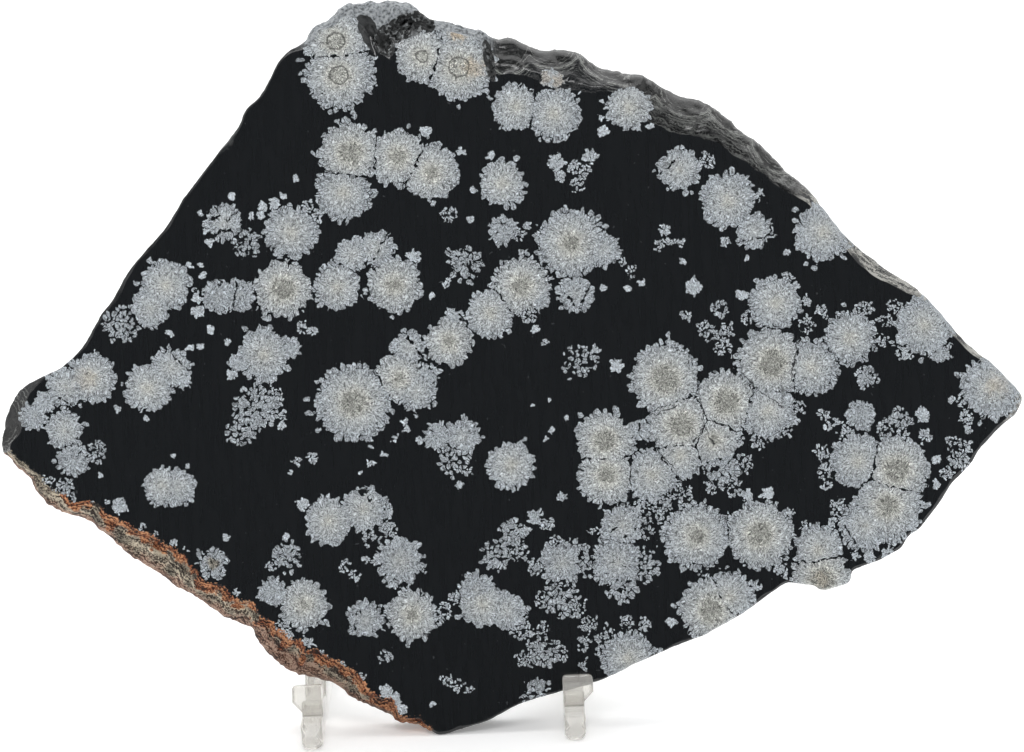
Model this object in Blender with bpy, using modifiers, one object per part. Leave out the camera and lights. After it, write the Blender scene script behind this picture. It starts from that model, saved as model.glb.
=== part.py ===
"""A slab of snowflake obsidian that stands on a clear acrylic display stand.

Metres, +Z up. The polished face looks towards -Y and leans back, so its upper edge is the farthest back.
The origin is on the table, under the middle of the whole piece.
"""

import math

import bmesh
import bpy
import numpy as np
from mathutils import Matrix

MM = 0.001

# Driving dimensions of the slab
SLAB_WIDTH = 204 * MM
SLAB_THICKNESS = 9.5 * MM
LEAN = math.radians(12)
BACK_INSET = 1.2 * MM
TABLE_GAP = 0.2 * MM

# Driving dimensions of the stand
ARM_SPACING = 52.6 * MM
ARM_THICKNESS = 4.2 * MM
FOOT_REACH = 7.0 * MM
FOOT_HEIGHT = 5.8 * MM
STAND_REAR = 76.0 * MM
HEEL_HEIGHT = 6.5 * MM
SEAT_HEIGHT = 8.2 * MM
LIP_HEIGHT = 11.4 * MM
LIP_THICKNESS = 2.8 * MM
LIP_GAP = 0.5 * MM
LIP_FLARE = 1.8 * MM
FLARE_OVERLAP = 0.15 * MM
REST_LENGTH = 72.0 * MM
REST_TOP_WIDTH = 5.5 * MM
REST_FOOT_WIDTH = 8.2 * MM
ELBOW_HEIGHT = 14.0 * MM
ELBOW_RADIUS = 14.0 * MM
ARM_ROUNDING = 0.9 * MM
ROD_DIAMETER = 4.4 * MM
LOWER_ROD_REAR = 52.0 * MM
LOWER_ROD_HEIGHT = 4.0 * MM
UPPER_ROD_HEIGHT = 58.0 * MM
TOUCH_GAP = 0.3 * MM

# The photograph's frame is 1024 by 752 pixels, with y running down. Its camera was rolled a little, so that
# the table line rises to the right, and STAND_PIXEL is the table midway between the two front feet.
PHOTO_ROLL = math.radians(2.16)
STAND_PIXEL = (443.5, 743.0)

# The slab's outline, clockwise as the photograph shows it, from the left corner. Each point is x and y in
# pixels and the width in pixels of the broken or weathered rim between there and the polished face.
OUTLINE = (
    ("glassy", ((2, 449, 8), (5, 431, 18), (9, 410, 17), (22, 389, 10))),
    (
        "clean",
        ((40, 379, 4), (59, 371, 3), (70, 362, 3), (84, 348, 4), (98, 323, 3), (104, 312, 3), (114, 301, 3))
        + ((124, 281, 4), (134, 266, 2), (148, 250, 2), (164, 232, 3), (172, 221, 2), (183, 201, 2))
        + ((199, 180, 2), (222, 150, 2), (240, 127, 2), (247, 109, 2), (259, 100, 2), (267, 88, 2))
        + ((274, 73, 2), (281, 60, 2), (290, 51, 3), (300, 47, 4)),
    ),
    (
        "pitted",
        ((308, 39, 7), (313, 28, 8), (331, 20, 9), (340, 9, 10), (346, 4, 12), (360, 6, 20), (368, 2, 34))
        + ((379, 4, 50), (388, 2, 50), (401, 2, 36), (415, 8, 24), (421, 15, 18), (430, 21, 9))
        + ((449, 23, 8), (461, 26, 8), (470, 30, 8), (480, 31, 10), (488, 37, 12)),
    ),
    (
        "glassy",
        ((495, 40, 34), (506, 38, 40), (514, 39, 36), (531, 49, 30), (542, 52, 30), (563, 50, 42))
        + ((573, 52, 40), (581, 55, 40), (589, 63, 32), (600, 69, 26), (624, 74, 20), (642, 76, 28))
        + ((664, 90, 38), (681, 98, 36), (699, 101, 38), (720, 113, 32), (738, 130, 24), (746, 138, 22))
        + ((754, 140, 24), (773, 159, 20), (787, 174, 18), (800, 184, 15)),
    ),
    (
        "bruised",
        ((811, 194, 10), (835, 226, 8), (846, 239, 9), (861, 252, 12), (887, 272, 12), (911, 286, 10))
        + ((922, 295, 5), (938, 312, 4), (958, 336, 5), (972, 350, 5), (996, 368, 6), (1009, 382, 6))
        + ((1020, 394, 6), (1022, 399, 6), (1014, 415, 4)),
    ),
    (
        "clean",
        ((1001, 424, 3), (988, 438, 3), (977, 450, 3), (970, 463, 3), (950, 483, 3), (940, 500, 3))
        + ((925, 520, 3), (918, 529, 3), (908, 534, 3), (901, 547, 3), (881, 558, 3), (850, 570, 2))
        + ((850, 582, 2), (832, 587, 2), (819, 590, 2), (816, 584, 2), (786, 581, 2), (771, 591, 2))
        + ((749, 608, 2), (725, 622, 2), (704, 634, 2), (679, 643, 2), (640, 660, 2), (604, 678, 2))
        + ((561, 690, 2), (520, 702, 2), (487, 720, 2), (460, 728, 2), (440, 735, 3)),
    ),
    (
        "crusted",
        ((422, 725, 5), (398, 719, 9), (382, 710, 13), (366, 702, 17), (352, 697, 20), (345, 688, 20))
        + ((332, 681, 20), (315, 675, 22), (307, 677, 27), (297, 673, 27), (280, 662, 29), (269, 652, 28))
        + ((256, 636, 21), (254, 625, 14), (243, 624, 20), (221, 612, 22), (189, 591, 20), (170, 580, 28))
        + ((150, 566, 27), (136, 558, 27), (118, 542, 22), (102, 530, 20), (94, 521, 19), (70, 513, 15))
        + ((50, 506, 15), (36, 488, 11), (30, 476, 5), (9, 456, 4)),
    ),
)

# Each kind of rim: how deep behind the polished face it is widest, how its slope bends (below 1 it is
# scooped out, above 1 it rounds over), the height of its lumps, of its ripples, and the depth of its pits.
RIM_KINDS = {
    "clean": (0.7 * MM, 1.5, 0.10 * MM, 0.0, 0.0),
    "glassy": (5.5 * MM, 0.75, 0.10 * MM, 0.45 * MM, 0.0),
    "bruised": (2.0 * MM, 1.0, 0.15 * MM, 0.15 * MM, 0.0),
    "pitted": (3.2 * MM, 0.9, 0.50 * MM, 0.0, 2.2 * MM),
    "crusted": (4.5 * MM, 1.3, 0.55 * MM, 0.0, 0.3 * MM),
}
OUTLINE_STEPS = 300
NORMAL_BLEND = 4
FRONT_SHARES = (0.0, 0.2, 0.4, 0.6, 0.8, 1.0)
BACK_SHARES = (0.35, 0.7, 1.0)
RIPPLES = 1.6
RELIEF_SEED = 11

GLASS_BLACK = (0.010, 0.011, 0.012, 1.0)
CLEAR_PLASTIC = (0.86, 0.88, 0.86, 1.0)


def clear_scene():
    """Removes every object of the open file's scene."""
    for thing in list(bpy.data.objects):
        bpy.data.objects.remove(thing, do_unlink=True)


def new_collection(name):
    """An empty collection, linked to the scene."""
    collection = bpy.data.collections.new(name)
    bpy.context.scene.collection.children.link(collection)
    return collection


def new_material(name, colour, roughness, transmission=0.0, ior=1.5):
    """A Principled material in one colour."""
    material = bpy.data.materials.new(name)
    material.use_nodes = True
    shader = material.node_tree.nodes["Principled BSDF"]
    shader.inputs["Base Color"].default_value = colour
    shader.inputs["Roughness"].default_value = roughness
    shader.inputs["Metallic"].default_value = 0.0
    shader.inputs["Transmission Weight"].default_value = transmission
    shader.inputs["IOR"].default_value = ior
    material.diffuse_color = colour
    return material


def new_object(name, mesh, material, collection):
    """A mesh object with its material, in a collection."""
    thing = bpy.data.objects.new(name, mesh)
    thing.data.materials.clear()
    thing.data.materials.append(material)
    collection.objects.link(thing)
    return thing


def blended(rows, passes):
    """Rows along a closed line, each averaged with its two neighbours as often as asked."""
    for _ in range(passes):
        rows = (np.roll(rows, 1, axis=0) + 2 * rows + np.roll(rows, -1, axis=0)) / 4
    return rows


def outline_rows():
    """The outline's points in the slab's own plane, with the rim's width and kind at each.

    A row is across, up the slope, rim width, then the five values of the rim's kind. The photograph is
    turned by its roll and scaled so that the outline is SLAB_WIDTH wide.
    """
    pixels = np.array([point for _, points in OUTLINE for point in points], float)
    kinds = np.array([RIM_KINDS[kind] for kind, points in OUTLINE for _ in points])
    right, down = (pixels[:, :2] - STAND_PIXEL).T
    across = right * math.cos(PHOTO_ROLL) - down * math.sin(PHOTO_ROLL)
    up = -right * math.sin(PHOTO_ROLL) - down * math.cos(PHOTO_ROLL)
    scale = SLAB_WIDTH / np.ptp(across)
    feet_up = -FOOT_REACH * math.sin(LEAN)
    return np.column_stack([across * scale, up * scale + feet_up, pixels[:, 2] * scale, kinds])


def resampled(rows, count):
    """The rows of a closed line at equal steps along it."""
    closed = np.vstack([rows, rows[:1]])
    lengths = np.hypot(*np.diff(closed[:, :2], axis=0).T)
    along = np.concatenate([[0.0], np.cumsum(lengths)])
    wanted = np.arange(count) * along[-1] / count
    return np.column_stack([np.interp(wanted, along, column) for column in closed.T])


def outward(line):
    """Unit vectors that point away from a clockwise closed line, blended so that they turn slowly."""
    along = np.roll(line, -1, axis=0) - np.roll(line, 1, axis=0)
    away = blended(np.column_stack([-along[:, 1], along[:, 0]]), NORMAL_BLEND)
    return away / np.linalg.norm(away, axis=1, keepdims=True)


def leaned(across, up, depth):
    """Points of the slab's frame (across, up its slope, depth behind its polished face) in the world."""
    rear = up * math.sin(LEAN) + depth * math.cos(LEAN)
    high = up * math.cos(LEAN) - depth * math.sin(LEAN)
    return np.stack([across, rear, high], axis=-1)


def rim_depth(rows, share, bumps):
    """How deep the rim lies behind the polished face at a share of the way out to its widest line."""
    widest, bend, lump, ripple, pit = rows[:, 3:].T
    inside = math.sin(math.pi * share)
    waves = np.sin(2 * math.pi * RIPPLES * share + np.arange(len(rows)) * 0.05)
    pits = np.clip(bumps + 0.4, 0.0, 1.0)
    return widest * share**bend + inside * (lump * bumps + ripple * waves + pit * pits)


def slab_rings():
    """The slab's rings of points, from the edge of the polished face round the rim to the edge of the back.

    Outwards from the polished face the rim falls away by its kind's slope, with lumps, ripples and pits.
    Behind its widest line it goes back to the flat rear face, drawn in a little.
    """
    rows = resampled(outline_rows(), OUTLINE_STEPS)
    line, width = rows[:, :2], rows[:, 2:3]
    away = outward(line)
    random = np.random.default_rng(RELIEF_SEED)
    rings = []
    for share in FRONT_SHARES:
        bumps = blended(random.uniform(-1.6, 1.6, OUTLINE_STEPS), 1)
        place = line - away * width * (1 - share)
        rings.append((place, rim_depth(rows, share, bumps)))
    widest = rings[-1][1]
    for share in BACK_SHARES:
        bumps = blended(random.uniform(-1.6, 1.6, OUTLINE_STEPS), 1)
        sway = rows[:, 5] * bumps * math.sin(math.pi * share)
        place = line - away * (BACK_INSET * share**2 + np.abs(sway))[:, None]
        rings.append((place, widest + (SLAB_THICKNESS - widest) * share))
    return rings


def slab_mesh():
    """The slab as one closed loft: two flat faces and a rim of quads between its rings.

    The lowest corner is cut level just above the table, on which it stands.
    """
    mesh_rings = []
    for place, depth in slab_rings():
        lowest = (TABLE_GAP + depth * math.sin(LEAN)) / math.cos(LEAN)
        up = np.maximum(place[:, 1], lowest)
        mesh_rings.append(leaned(place[:, 0], up, depth))
    shape = bmesh.new()
    rings = [[shape.verts.new(point) for point in ring] for ring in mesh_rings]
    for near, far in zip(rings, rings[1:]):
        for i in range(OUTLINE_STEPS):
            j = (i + 1) % OUTLINE_STEPS
            shape.faces.new((near[i], near[j], far[j], far[i]))
    shape.faces.new(rings[0])
    shape.faces.new(rings[-1])
    bmesh.ops.recalc_face_normals(shape, faces=shape.faces)
    mesh = bpy.data.meshes.new("obsidian_slab")
    shape.to_mesh(mesh)
    shape.free()
    return mesh


def beside_slab(up, depth):
    """A place in the arm's side view, (rear, high), from the slab's own frame."""
    return tuple(leaned(0.0, up, depth)[1:])


def rounded_corner(before, corner, after, radius, steps=5):
    """The points of an arc that rounds one corner of a flat outline."""
    before, corner, after = (np.array(point, float) for point in (before, corner, after))
    one = (before - corner) / np.linalg.norm(before - corner)
    two = (after - corner) / np.linalg.norm(after - corner)
    half_angle = math.acos(float(np.clip(one @ two, -1, 1))) / 2
    middle = (one + two) / np.linalg.norm(one + two)
    centre = corner + middle * radius / math.sin(half_angle)
    start = corner + one * radius / math.tan(half_angle) - centre
    end = corner + two * radius / math.tan(half_angle) - centre
    turn = math.atan2(start[0] * end[1] - start[1] * end[0], start @ end)
    angles = np.linspace(0, turn, steps + 1)
    cosine, sine = np.cos(angles), np.sin(angles)
    arc = np.column_stack([start[0] * cosine - start[1] * sine, start[0] * sine + start[1] * cosine])
    return [tuple(point) for point in centre + arc]


def arm_outline():
    """The side view of an arm: foot, heel, elbow, back rest, seat and lip, each corner with its radius."""
    rest = SLAB_THICKNESS + TOUCH_GAP
    lip_front = -LIP_GAP - LIP_THICKNESS
    corners = (
        ((-FOOT_REACH, 0.0), 1.2 * MM),
        ((STAND_REAR, 0.0), 1.5 * MM),
        ((STAND_REAR, HEEL_HEIGHT), 3.0 * MM),
        (beside_slab(ELBOW_HEIGHT, rest + REST_FOOT_WIDTH), ELBOW_RADIUS),
        (beside_slab(REST_LENGTH, rest + REST_TOP_WIDTH), 2.5 * MM),
        (beside_slab(REST_LENGTH, rest), 2.0 * MM),
        (beside_slab(SEAT_HEIGHT, rest), 0.5 * MM),
        (beside_slab(SEAT_HEIGHT, -LIP_GAP), 0.5 * MM),
        (beside_slab(LIP_HEIGHT, -LIP_GAP), 0.6 * MM),
        (beside_slab(LIP_HEIGHT, lip_front), 1.2 * MM),
        ((lip_front + FOOT_HEIGHT * math.tan(LEAN), FOOT_HEIGHT), 0.8 * MM),
        ((-FOOT_REACH, FOOT_HEIGHT), 2.2 * MM),
    )
    places = [place for place, _ in corners]
    points = []
    for i, (place, radius) in enumerate(corners):
        after = places[(i + 1) % len(places)]
        points += rounded_corner(places[i - 1], place, after, radius)
    return points


def plate_mesh(name, outline, thickness):
    """A plate of the given side view, as thick as asked along X and centred on it."""
    curve = bpy.data.curves.new(name + "_outline", "CURVE")
    curve.dimensions = "2D"
    curve.fill_mode = "BOTH"
    curve.extrude = thickness / 2
    spline = curve.splines.new("POLY")
    spline.points.add(len(outline) - 1)
    for point, (rear, high) in zip(spline.points, outline):
        point.co = (rear, high, 0.0, 1.0)
    spline.use_cyclic_u = True
    guide = bpy.data.objects.new(name + "_outline", curve)
    bpy.context.scene.collection.objects.link(guide)
    bpy.context.view_layer.update()
    evaluated = guide.evaluated_get(bpy.context.evaluated_depsgraph_get())
    mesh = bpy.data.meshes.new_from_object(evaluated)
    bpy.data.objects.remove(guide, do_unlink=True)
    shape = bmesh.new()
    shape.from_mesh(mesh)
    bmesh.ops.remove_doubles(shape, verts=shape.verts, dist=0.01 * MM)
    # The curve's X becomes the world's Y, its Y becomes Z and its thickness lies along X.
    upright = Matrix(((0, 0, 1, 0), (1, 0, 0, 0), (0, 1, 0, 0), (0, 0, 0, 1)))
    bmesh.ops.transform(shape, matrix=upright, verts=shape.verts)
    bmesh.ops.recalc_face_normals(shape, faces=shape.faces)
    shape.to_mesh(mesh)
    shape.free()
    return mesh


def lip_flare(name, side, collection, material):
    """The lip's wedge: inside the arm at the foot and widening outwards to the top of the lip."""
    low = FOOT_HEIGHT / math.cos(LEAN)
    front = -LIP_GAP - LIP_THICKNESS - FLARE_OVERLAP
    rear = -LIP_GAP + FLARE_OVERLAP
    shape = bmesh.new()
    bmesh.ops.create_cube(shape, size=1.0)
    for corner in shape.verts:
        top = corner.co.z > 0
        outer = corner.co.x > 0
        reach = ARM_THICKNESS / 2 + (LIP_FLARE if top else -FLARE_OVERLAP)
        across = side * (reach if outer else ARM_THICKNESS / 4)
        up = LIP_HEIGHT - FLARE_OVERLAP if top else low
        corner.co = leaned(across, up, rear if corner.co.y > 0 else front)
    bmesh.ops.recalc_face_normals(shape, faces=shape.faces)
    mesh = bpy.data.meshes.new(name)
    shape.to_mesh(mesh)
    shape.free()
    wedge = new_object(name, mesh, material, collection)
    wedge.hide_render = True
    wedge.display_type = "WIRE"
    return wedge


def stand_arm(name, side, material, collection, cutters):
    """One side arm, standing on the table with its flared lip in front of the slab."""
    mesh = plate_mesh(name, arm_outline(), ARM_THICKNESS)
    arm = new_object(name, mesh, material, collection)
    arm.location.x = side * ARM_SPACING / 2
    wedge = lip_flare(name + "_flare", side, cutters, material)
    wedge.location.x = arm.location.x
    join = arm.modifiers.new("flared lip", "BOOLEAN")
    join.operation = "UNION"
    join.solver = "EXACT"
    join.object = wedge
    rounding = arm.modifiers.new("moulded edges", "BEVEL")
    rounding.width = ARM_ROUNDING
    rounding.segments = 2
    rounding.limit_method = "ANGLE"
    rounding.angle_limit = math.radians(50)
    return arm


def stand_rod(name, rear, high, material, collection):
    """A round rod that ties the arms together, its ends just clear of their inner faces."""
    length = ARM_SPACING - ARM_THICKNESS - 2 * TOUCH_GAP
    turned = Matrix.Rotation(math.pi / 2, 4, "Y")
    shape = bmesh.new()
    bmesh.ops.create_cone(
        shape,
        cap_ends=True,
        segments=32,
        radius1=ROD_DIAMETER / 2,
        radius2=ROD_DIAMETER / 2,
        depth=length,
        matrix=turned,
    )
    mesh = bpy.data.meshes.new(name)
    shape.to_mesh(mesh)
    shape.free()
    mesh.shade_smooth()
    mesh.set_sharp_from_angle(angle=math.radians(40))
    rod = new_object(name, mesh, material, collection)
    rod.location = (0.0, rear, high)
    return rod


def centre_on_origin(things):
    """Moves everything so that the origin is under the middle of the whole, on the table."""
    bpy.context.view_layer.update()
    graph = bpy.context.evaluated_depsgraph_get()
    corners = []
    for thing in things:
        evaluated = thing.evaluated_get(graph)
        mesh = evaluated.to_mesh()
        places = np.empty(len(mesh.vertices) * 3, np.float32)
        mesh.vertices.foreach_get("co", places)
        corners.append(places.reshape(-1, 3) + np.array(thing.matrix_world.translation))
        evaluated.to_mesh_clear()
    everything = np.vstack(corners)
    middle = (everything.min(axis=0) + everything.max(axis=0)) / 2
    for thing in list(bpy.data.objects):
        thing.location.x -= middle[0]
        thing.location.y -= middle[1]


def main():
    clear_scene()
    parts = new_collection("snowflake_obsidian_slab")
    cutters = new_collection("cutters")
    stone = new_material("obsidian", GLASS_BLACK, roughness=0.15)
    plastic = new_material("clear_acrylic", CLEAR_PLASTIC, roughness=0.05, transmission=1.0, ior=1.49)
    rod_depth = SLAB_THICKNESS + TOUCH_GAP + (REST_TOP_WIDTH + REST_FOOT_WIDTH) / 4
    upper_rod = beside_slab(UPPER_ROD_HEIGHT, rod_depth)
    things = [
        new_object("obsidian_slab", slab_mesh(), stone, parts),
        stand_arm("stand_arm_left", -1, plastic, parts, cutters),
        stand_arm("stand_arm_right", 1, plastic, parts, cutters),
        stand_rod("stand_rod_lower", LOWER_ROD_REAR, LOWER_ROD_HEIGHT, plastic, parts),
        stand_rod("stand_rod_upper", *upper_rod, plastic, parts),
    ]
    centre_on_origin(things)


main()
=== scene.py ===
"""The looks of a snowflake obsidian slab that stands on a clear acrylic display stand."""

import math
from types import SimpleNamespace

import bpy
import numpy as np
from mathutils import Matrix, Vector

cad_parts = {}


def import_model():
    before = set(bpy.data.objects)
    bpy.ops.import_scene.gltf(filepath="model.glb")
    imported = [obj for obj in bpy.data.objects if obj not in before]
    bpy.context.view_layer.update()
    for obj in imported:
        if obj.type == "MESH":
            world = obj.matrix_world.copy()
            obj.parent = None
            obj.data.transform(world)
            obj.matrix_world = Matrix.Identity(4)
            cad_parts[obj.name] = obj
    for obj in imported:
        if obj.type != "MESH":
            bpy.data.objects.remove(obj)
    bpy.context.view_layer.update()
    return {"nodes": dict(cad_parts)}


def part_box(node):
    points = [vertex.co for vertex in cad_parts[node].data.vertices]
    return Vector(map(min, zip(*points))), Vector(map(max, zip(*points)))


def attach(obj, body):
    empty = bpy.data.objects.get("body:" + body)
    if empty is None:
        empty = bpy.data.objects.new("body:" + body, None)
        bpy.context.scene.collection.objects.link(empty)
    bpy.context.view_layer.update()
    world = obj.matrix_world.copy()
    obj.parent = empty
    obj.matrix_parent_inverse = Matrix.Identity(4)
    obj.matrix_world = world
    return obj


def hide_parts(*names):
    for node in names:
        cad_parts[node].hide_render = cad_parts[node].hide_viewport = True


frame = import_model()

MM = 0.001

# The slab's sizes in millimetres, as the CAD has them
SLAB_THICKNESS = 9.5
LEAN = math.radians(12)
BACK_INSET = 1.2
TABLE_GAP = 0.2
FOOT_REACH = 7.0

# The stand's arms in millimetres, as the CAD has them, but for the rounding, which is finer here
ARM_THICKNESS = 4.2
LEFT_ARM_SHIFT = 0.55
FOOT_HEIGHT = 5.8
STAND_REAR = 76.0
HEEL_HEIGHT = 6.5
SEAT_HEIGHT = 8.2
REST_GAP = 0.3
REST_LENGTH = 72.0
REST_TOP_WIDTH = 5.5
REST_FOOT_WIDTH = 8.2
ELBOW_HEIGHT = 14.0
ELBOW_RADIUS = 14.0
EDGE_ROUNDING = 0.55
OUTLINE_STEP = 0.4
ROUNDING_STEPS = 6

# The nose is the front end of a foot, which is rounded more. It lies in front of NOSE_REAR and below
# NOSE_TOP, and its rounding fades in over the length and the height.
NOSE_ROUNDING = 1.6
NOSE_REAR = -3.0
NOSE_FADE_LENGTH = 2.5
NOSE_TOP = 5.0
NOSE_FADE_HEIGHT = 2.0

# The lips that hold the slab's lower edge. Each starts at LIP_FOOT, sunk into the foot, swells outwards
# above its shoulder and is thinner by a hair below its brow.
LIP_FOOT = 4.6
LIP_HEIGHT = 11.4
LIP_THICKNESS = 2.8
LIP_GAP = 0.5
LIP_SHOULDER = 5.9
LIP_SWELL_HEIGHT = 1.4
LIP_FLARE = 1.8
LIP_INNER_FLARE = 0.15
LIP_SINK = 0.1
LIP_BROW = 8.2
LIP_BROW_HEIGHT = 0.4
LIP_BROW_STEP = 0.3
LIP_SQUARENESS = 0.22
LIP_LAST_RISE = 88
LIP_RINGS = 45
LIP_TURN = 5

# The photograph's frame is 1024 by 752 pixels, with y running down. Its camera was rolled a little, so that
# the table line rises to the right, and STAND_PIXEL is the table midway between the two front feet.
PHOTO_SIZE = (1024, 752)
PHOTO_ROLL = math.radians(2.16)
STAND_PIXEL = (443.5, 743.0)

# How far the camera stood from the polished face (a guess), its sensor's width and the nearest place that it
# sees, and how far outside the listed points the outline's own middle runs, all in millimetres
CAMERA_DISTANCE = 600.0
SENSOR_WIDTH = 36.0
CAMERA_NEAREST = 10.0
OUTLINE_SPREAD = 0.25

# The slab's outline, clockwise as the photograph shows it, from the left corner. Each point is x and y in
# pixels and the width in pixels of the broken or weathered rim between there and the polished face.
OUTLINE = (
    ("sheared", ((2, 449, 8), (5, 431, 18), (9, 410, 17), (22, 389, 10))),
    (
        "clean",
        ((40, 379, 4), (59, 371, 3), (70, 362, 3), (84, 348, 4), (98, 323, 3), (104, 312, 3), (114, 301, 3))
        + ((124, 281, 4), (134, 266, 2), (148, 250, 2), (164, 232, 3), (172, 221, 2), (183, 201, 2))
        + ((199, 180, 2), (222, 150, 2), (240, 127, 2), (247, 109, 2), (259, 100, 2), (267, 88, 2))
        + ((274, 73, 2), (281, 60, 2), (290, 51, 3), (300, 47, 4)),
    ),
    (
        "pitted",
        ((308, 39, 7), (313, 28, 8), (331, 20, 9), (340, 9, 10), (346, 4, 12), (360, 6, 20), (368, 2, 34))
        + ((379, 4, 50), (388, 2, 50), (401, 2, 36), (415, 8, 24), (421, 15, 18), (430, 21, 9))
        + ((449, 23, 8), (461, 26, 8), (470, 30, 8), (480, 31, 10), (488, 37, 12)),
    ),
    (
        "glassy",
        ((495, 40, 34), (506, 38, 40), (514, 39, 36), (531, 49, 30), (542, 52, 30), (563, 50, 42))
        + ((573, 52, 40), (581, 55, 40), (589, 63, 32), (600, 69, 26), (624, 74, 20), (642, 76, 28)),
    ),
    (
        "hackled",
        ((664, 90, 38), (681, 98, 36), (699, 101, 38), (720, 113, 32), (738, 130, 24), (746, 138, 22))
        + ((754, 140, 24), (773, 159, 20), (787, 174, 18), (800, 184, 15)),
    ),
    (
        "bruised",
        ((811, 194, 10), (835, 226, 8), (846, 239, 9), (861, 252, 12), (887, 272, 12), (911, 286, 10))
        + ((922, 295, 5), (938, 312, 4), (958, 336, 5), (972, 350, 5), (996, 368, 6), (1009, 382, 6))
        + ((1020, 394, 6), (1022, 399, 6), (1014, 415, 4)),
    ),
    (
        "clean",
        ((1001, 424, 3), (988, 438, 3), (977, 450, 3), (970, 463, 3), (950, 483, 3), (940, 500, 3))
        + ((925, 520, 3), (918, 529, 3), (908, 534, 3), (901, 547, 3), (881, 558, 3), (850, 570, 2))
        + ((850, 582, 2), (832, 587, 2), (819, 590, 2), (816, 584, 2), (786, 581, 2), (771, 591, 2))
        + ((749, 608, 2), (725, 622, 2), (704, 634, 2), (679, 643, 2), (640, 660, 2), (604, 678, 2))
        + ((561, 690, 2), (520, 702, 2), (487, 720, 2), (460, 728, 2), (440, 735, 3)),
    ),
    (
        "crusted",
        ((422, 725, 5), (398, 719, 9), (382, 710, 13), (366, 702, 17), (352, 697, 20), (345, 688, 20))
        + ((332, 681, 20), (315, 675, 22), (307, 677, 27), (297, 673, 27), (280, 662, 29), (269, 652, 28))
        + ((256, 636, 21), (254, 625, 14), (243, 624, 20), (221, 612, 22), (189, 591, 20), (170, 580, 28))
        + ((150, 566, 27), (136, 558, 27), (118, 542, 22), (102, 530, 20), (94, 521, 19), (70, 513, 15))
        + ((50, 506, 15), (36, 488, 11), (30, 476, 5), (9, 456, 4)),
    ),
)

# Each kind of rim, in millimetres: how deep behind the polished face it is widest, how its slope bends
# (below 1 it is scooped out, above 1 it rounds over), the share of its depth that it drops at its outer
# edge, the height of its lumps, of its ripples, the depth of its pits, and how ragged its two edges are.
RIM_KINDS = {
    "clean": (0.7, 1.5, 0.4, 0.08, 0.0, 0.0, 0.12),
    "sheared": (2.2, 1.0, 0.05, 0.12, 0.10, 0.0, 0.30),
    "glassy": (4.4, 1.5, 0.4, 0.16, 0.24, 0.0, 0.30),
    "hackled": (4.4, 1.3, 0.4, 0.18, 0.24, 0.0, 0.30),
    "bruised": (2.2, 1.3, 0.4, 0.14, 0.06, 0.0, 0.22),
    "pitted": (3.0, 1.4, 0.4, 0.50, 0.0, 0.6, 0.45),
    "crusted": (4.5, 1.3, 0.4, 0.50, 0.0, 0.6, 0.52),
}
# The rim kinds that the material knows by their weights: all but the clean one
MARKED_KINDS = tuple(RIM_KINDS)[1:]
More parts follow.
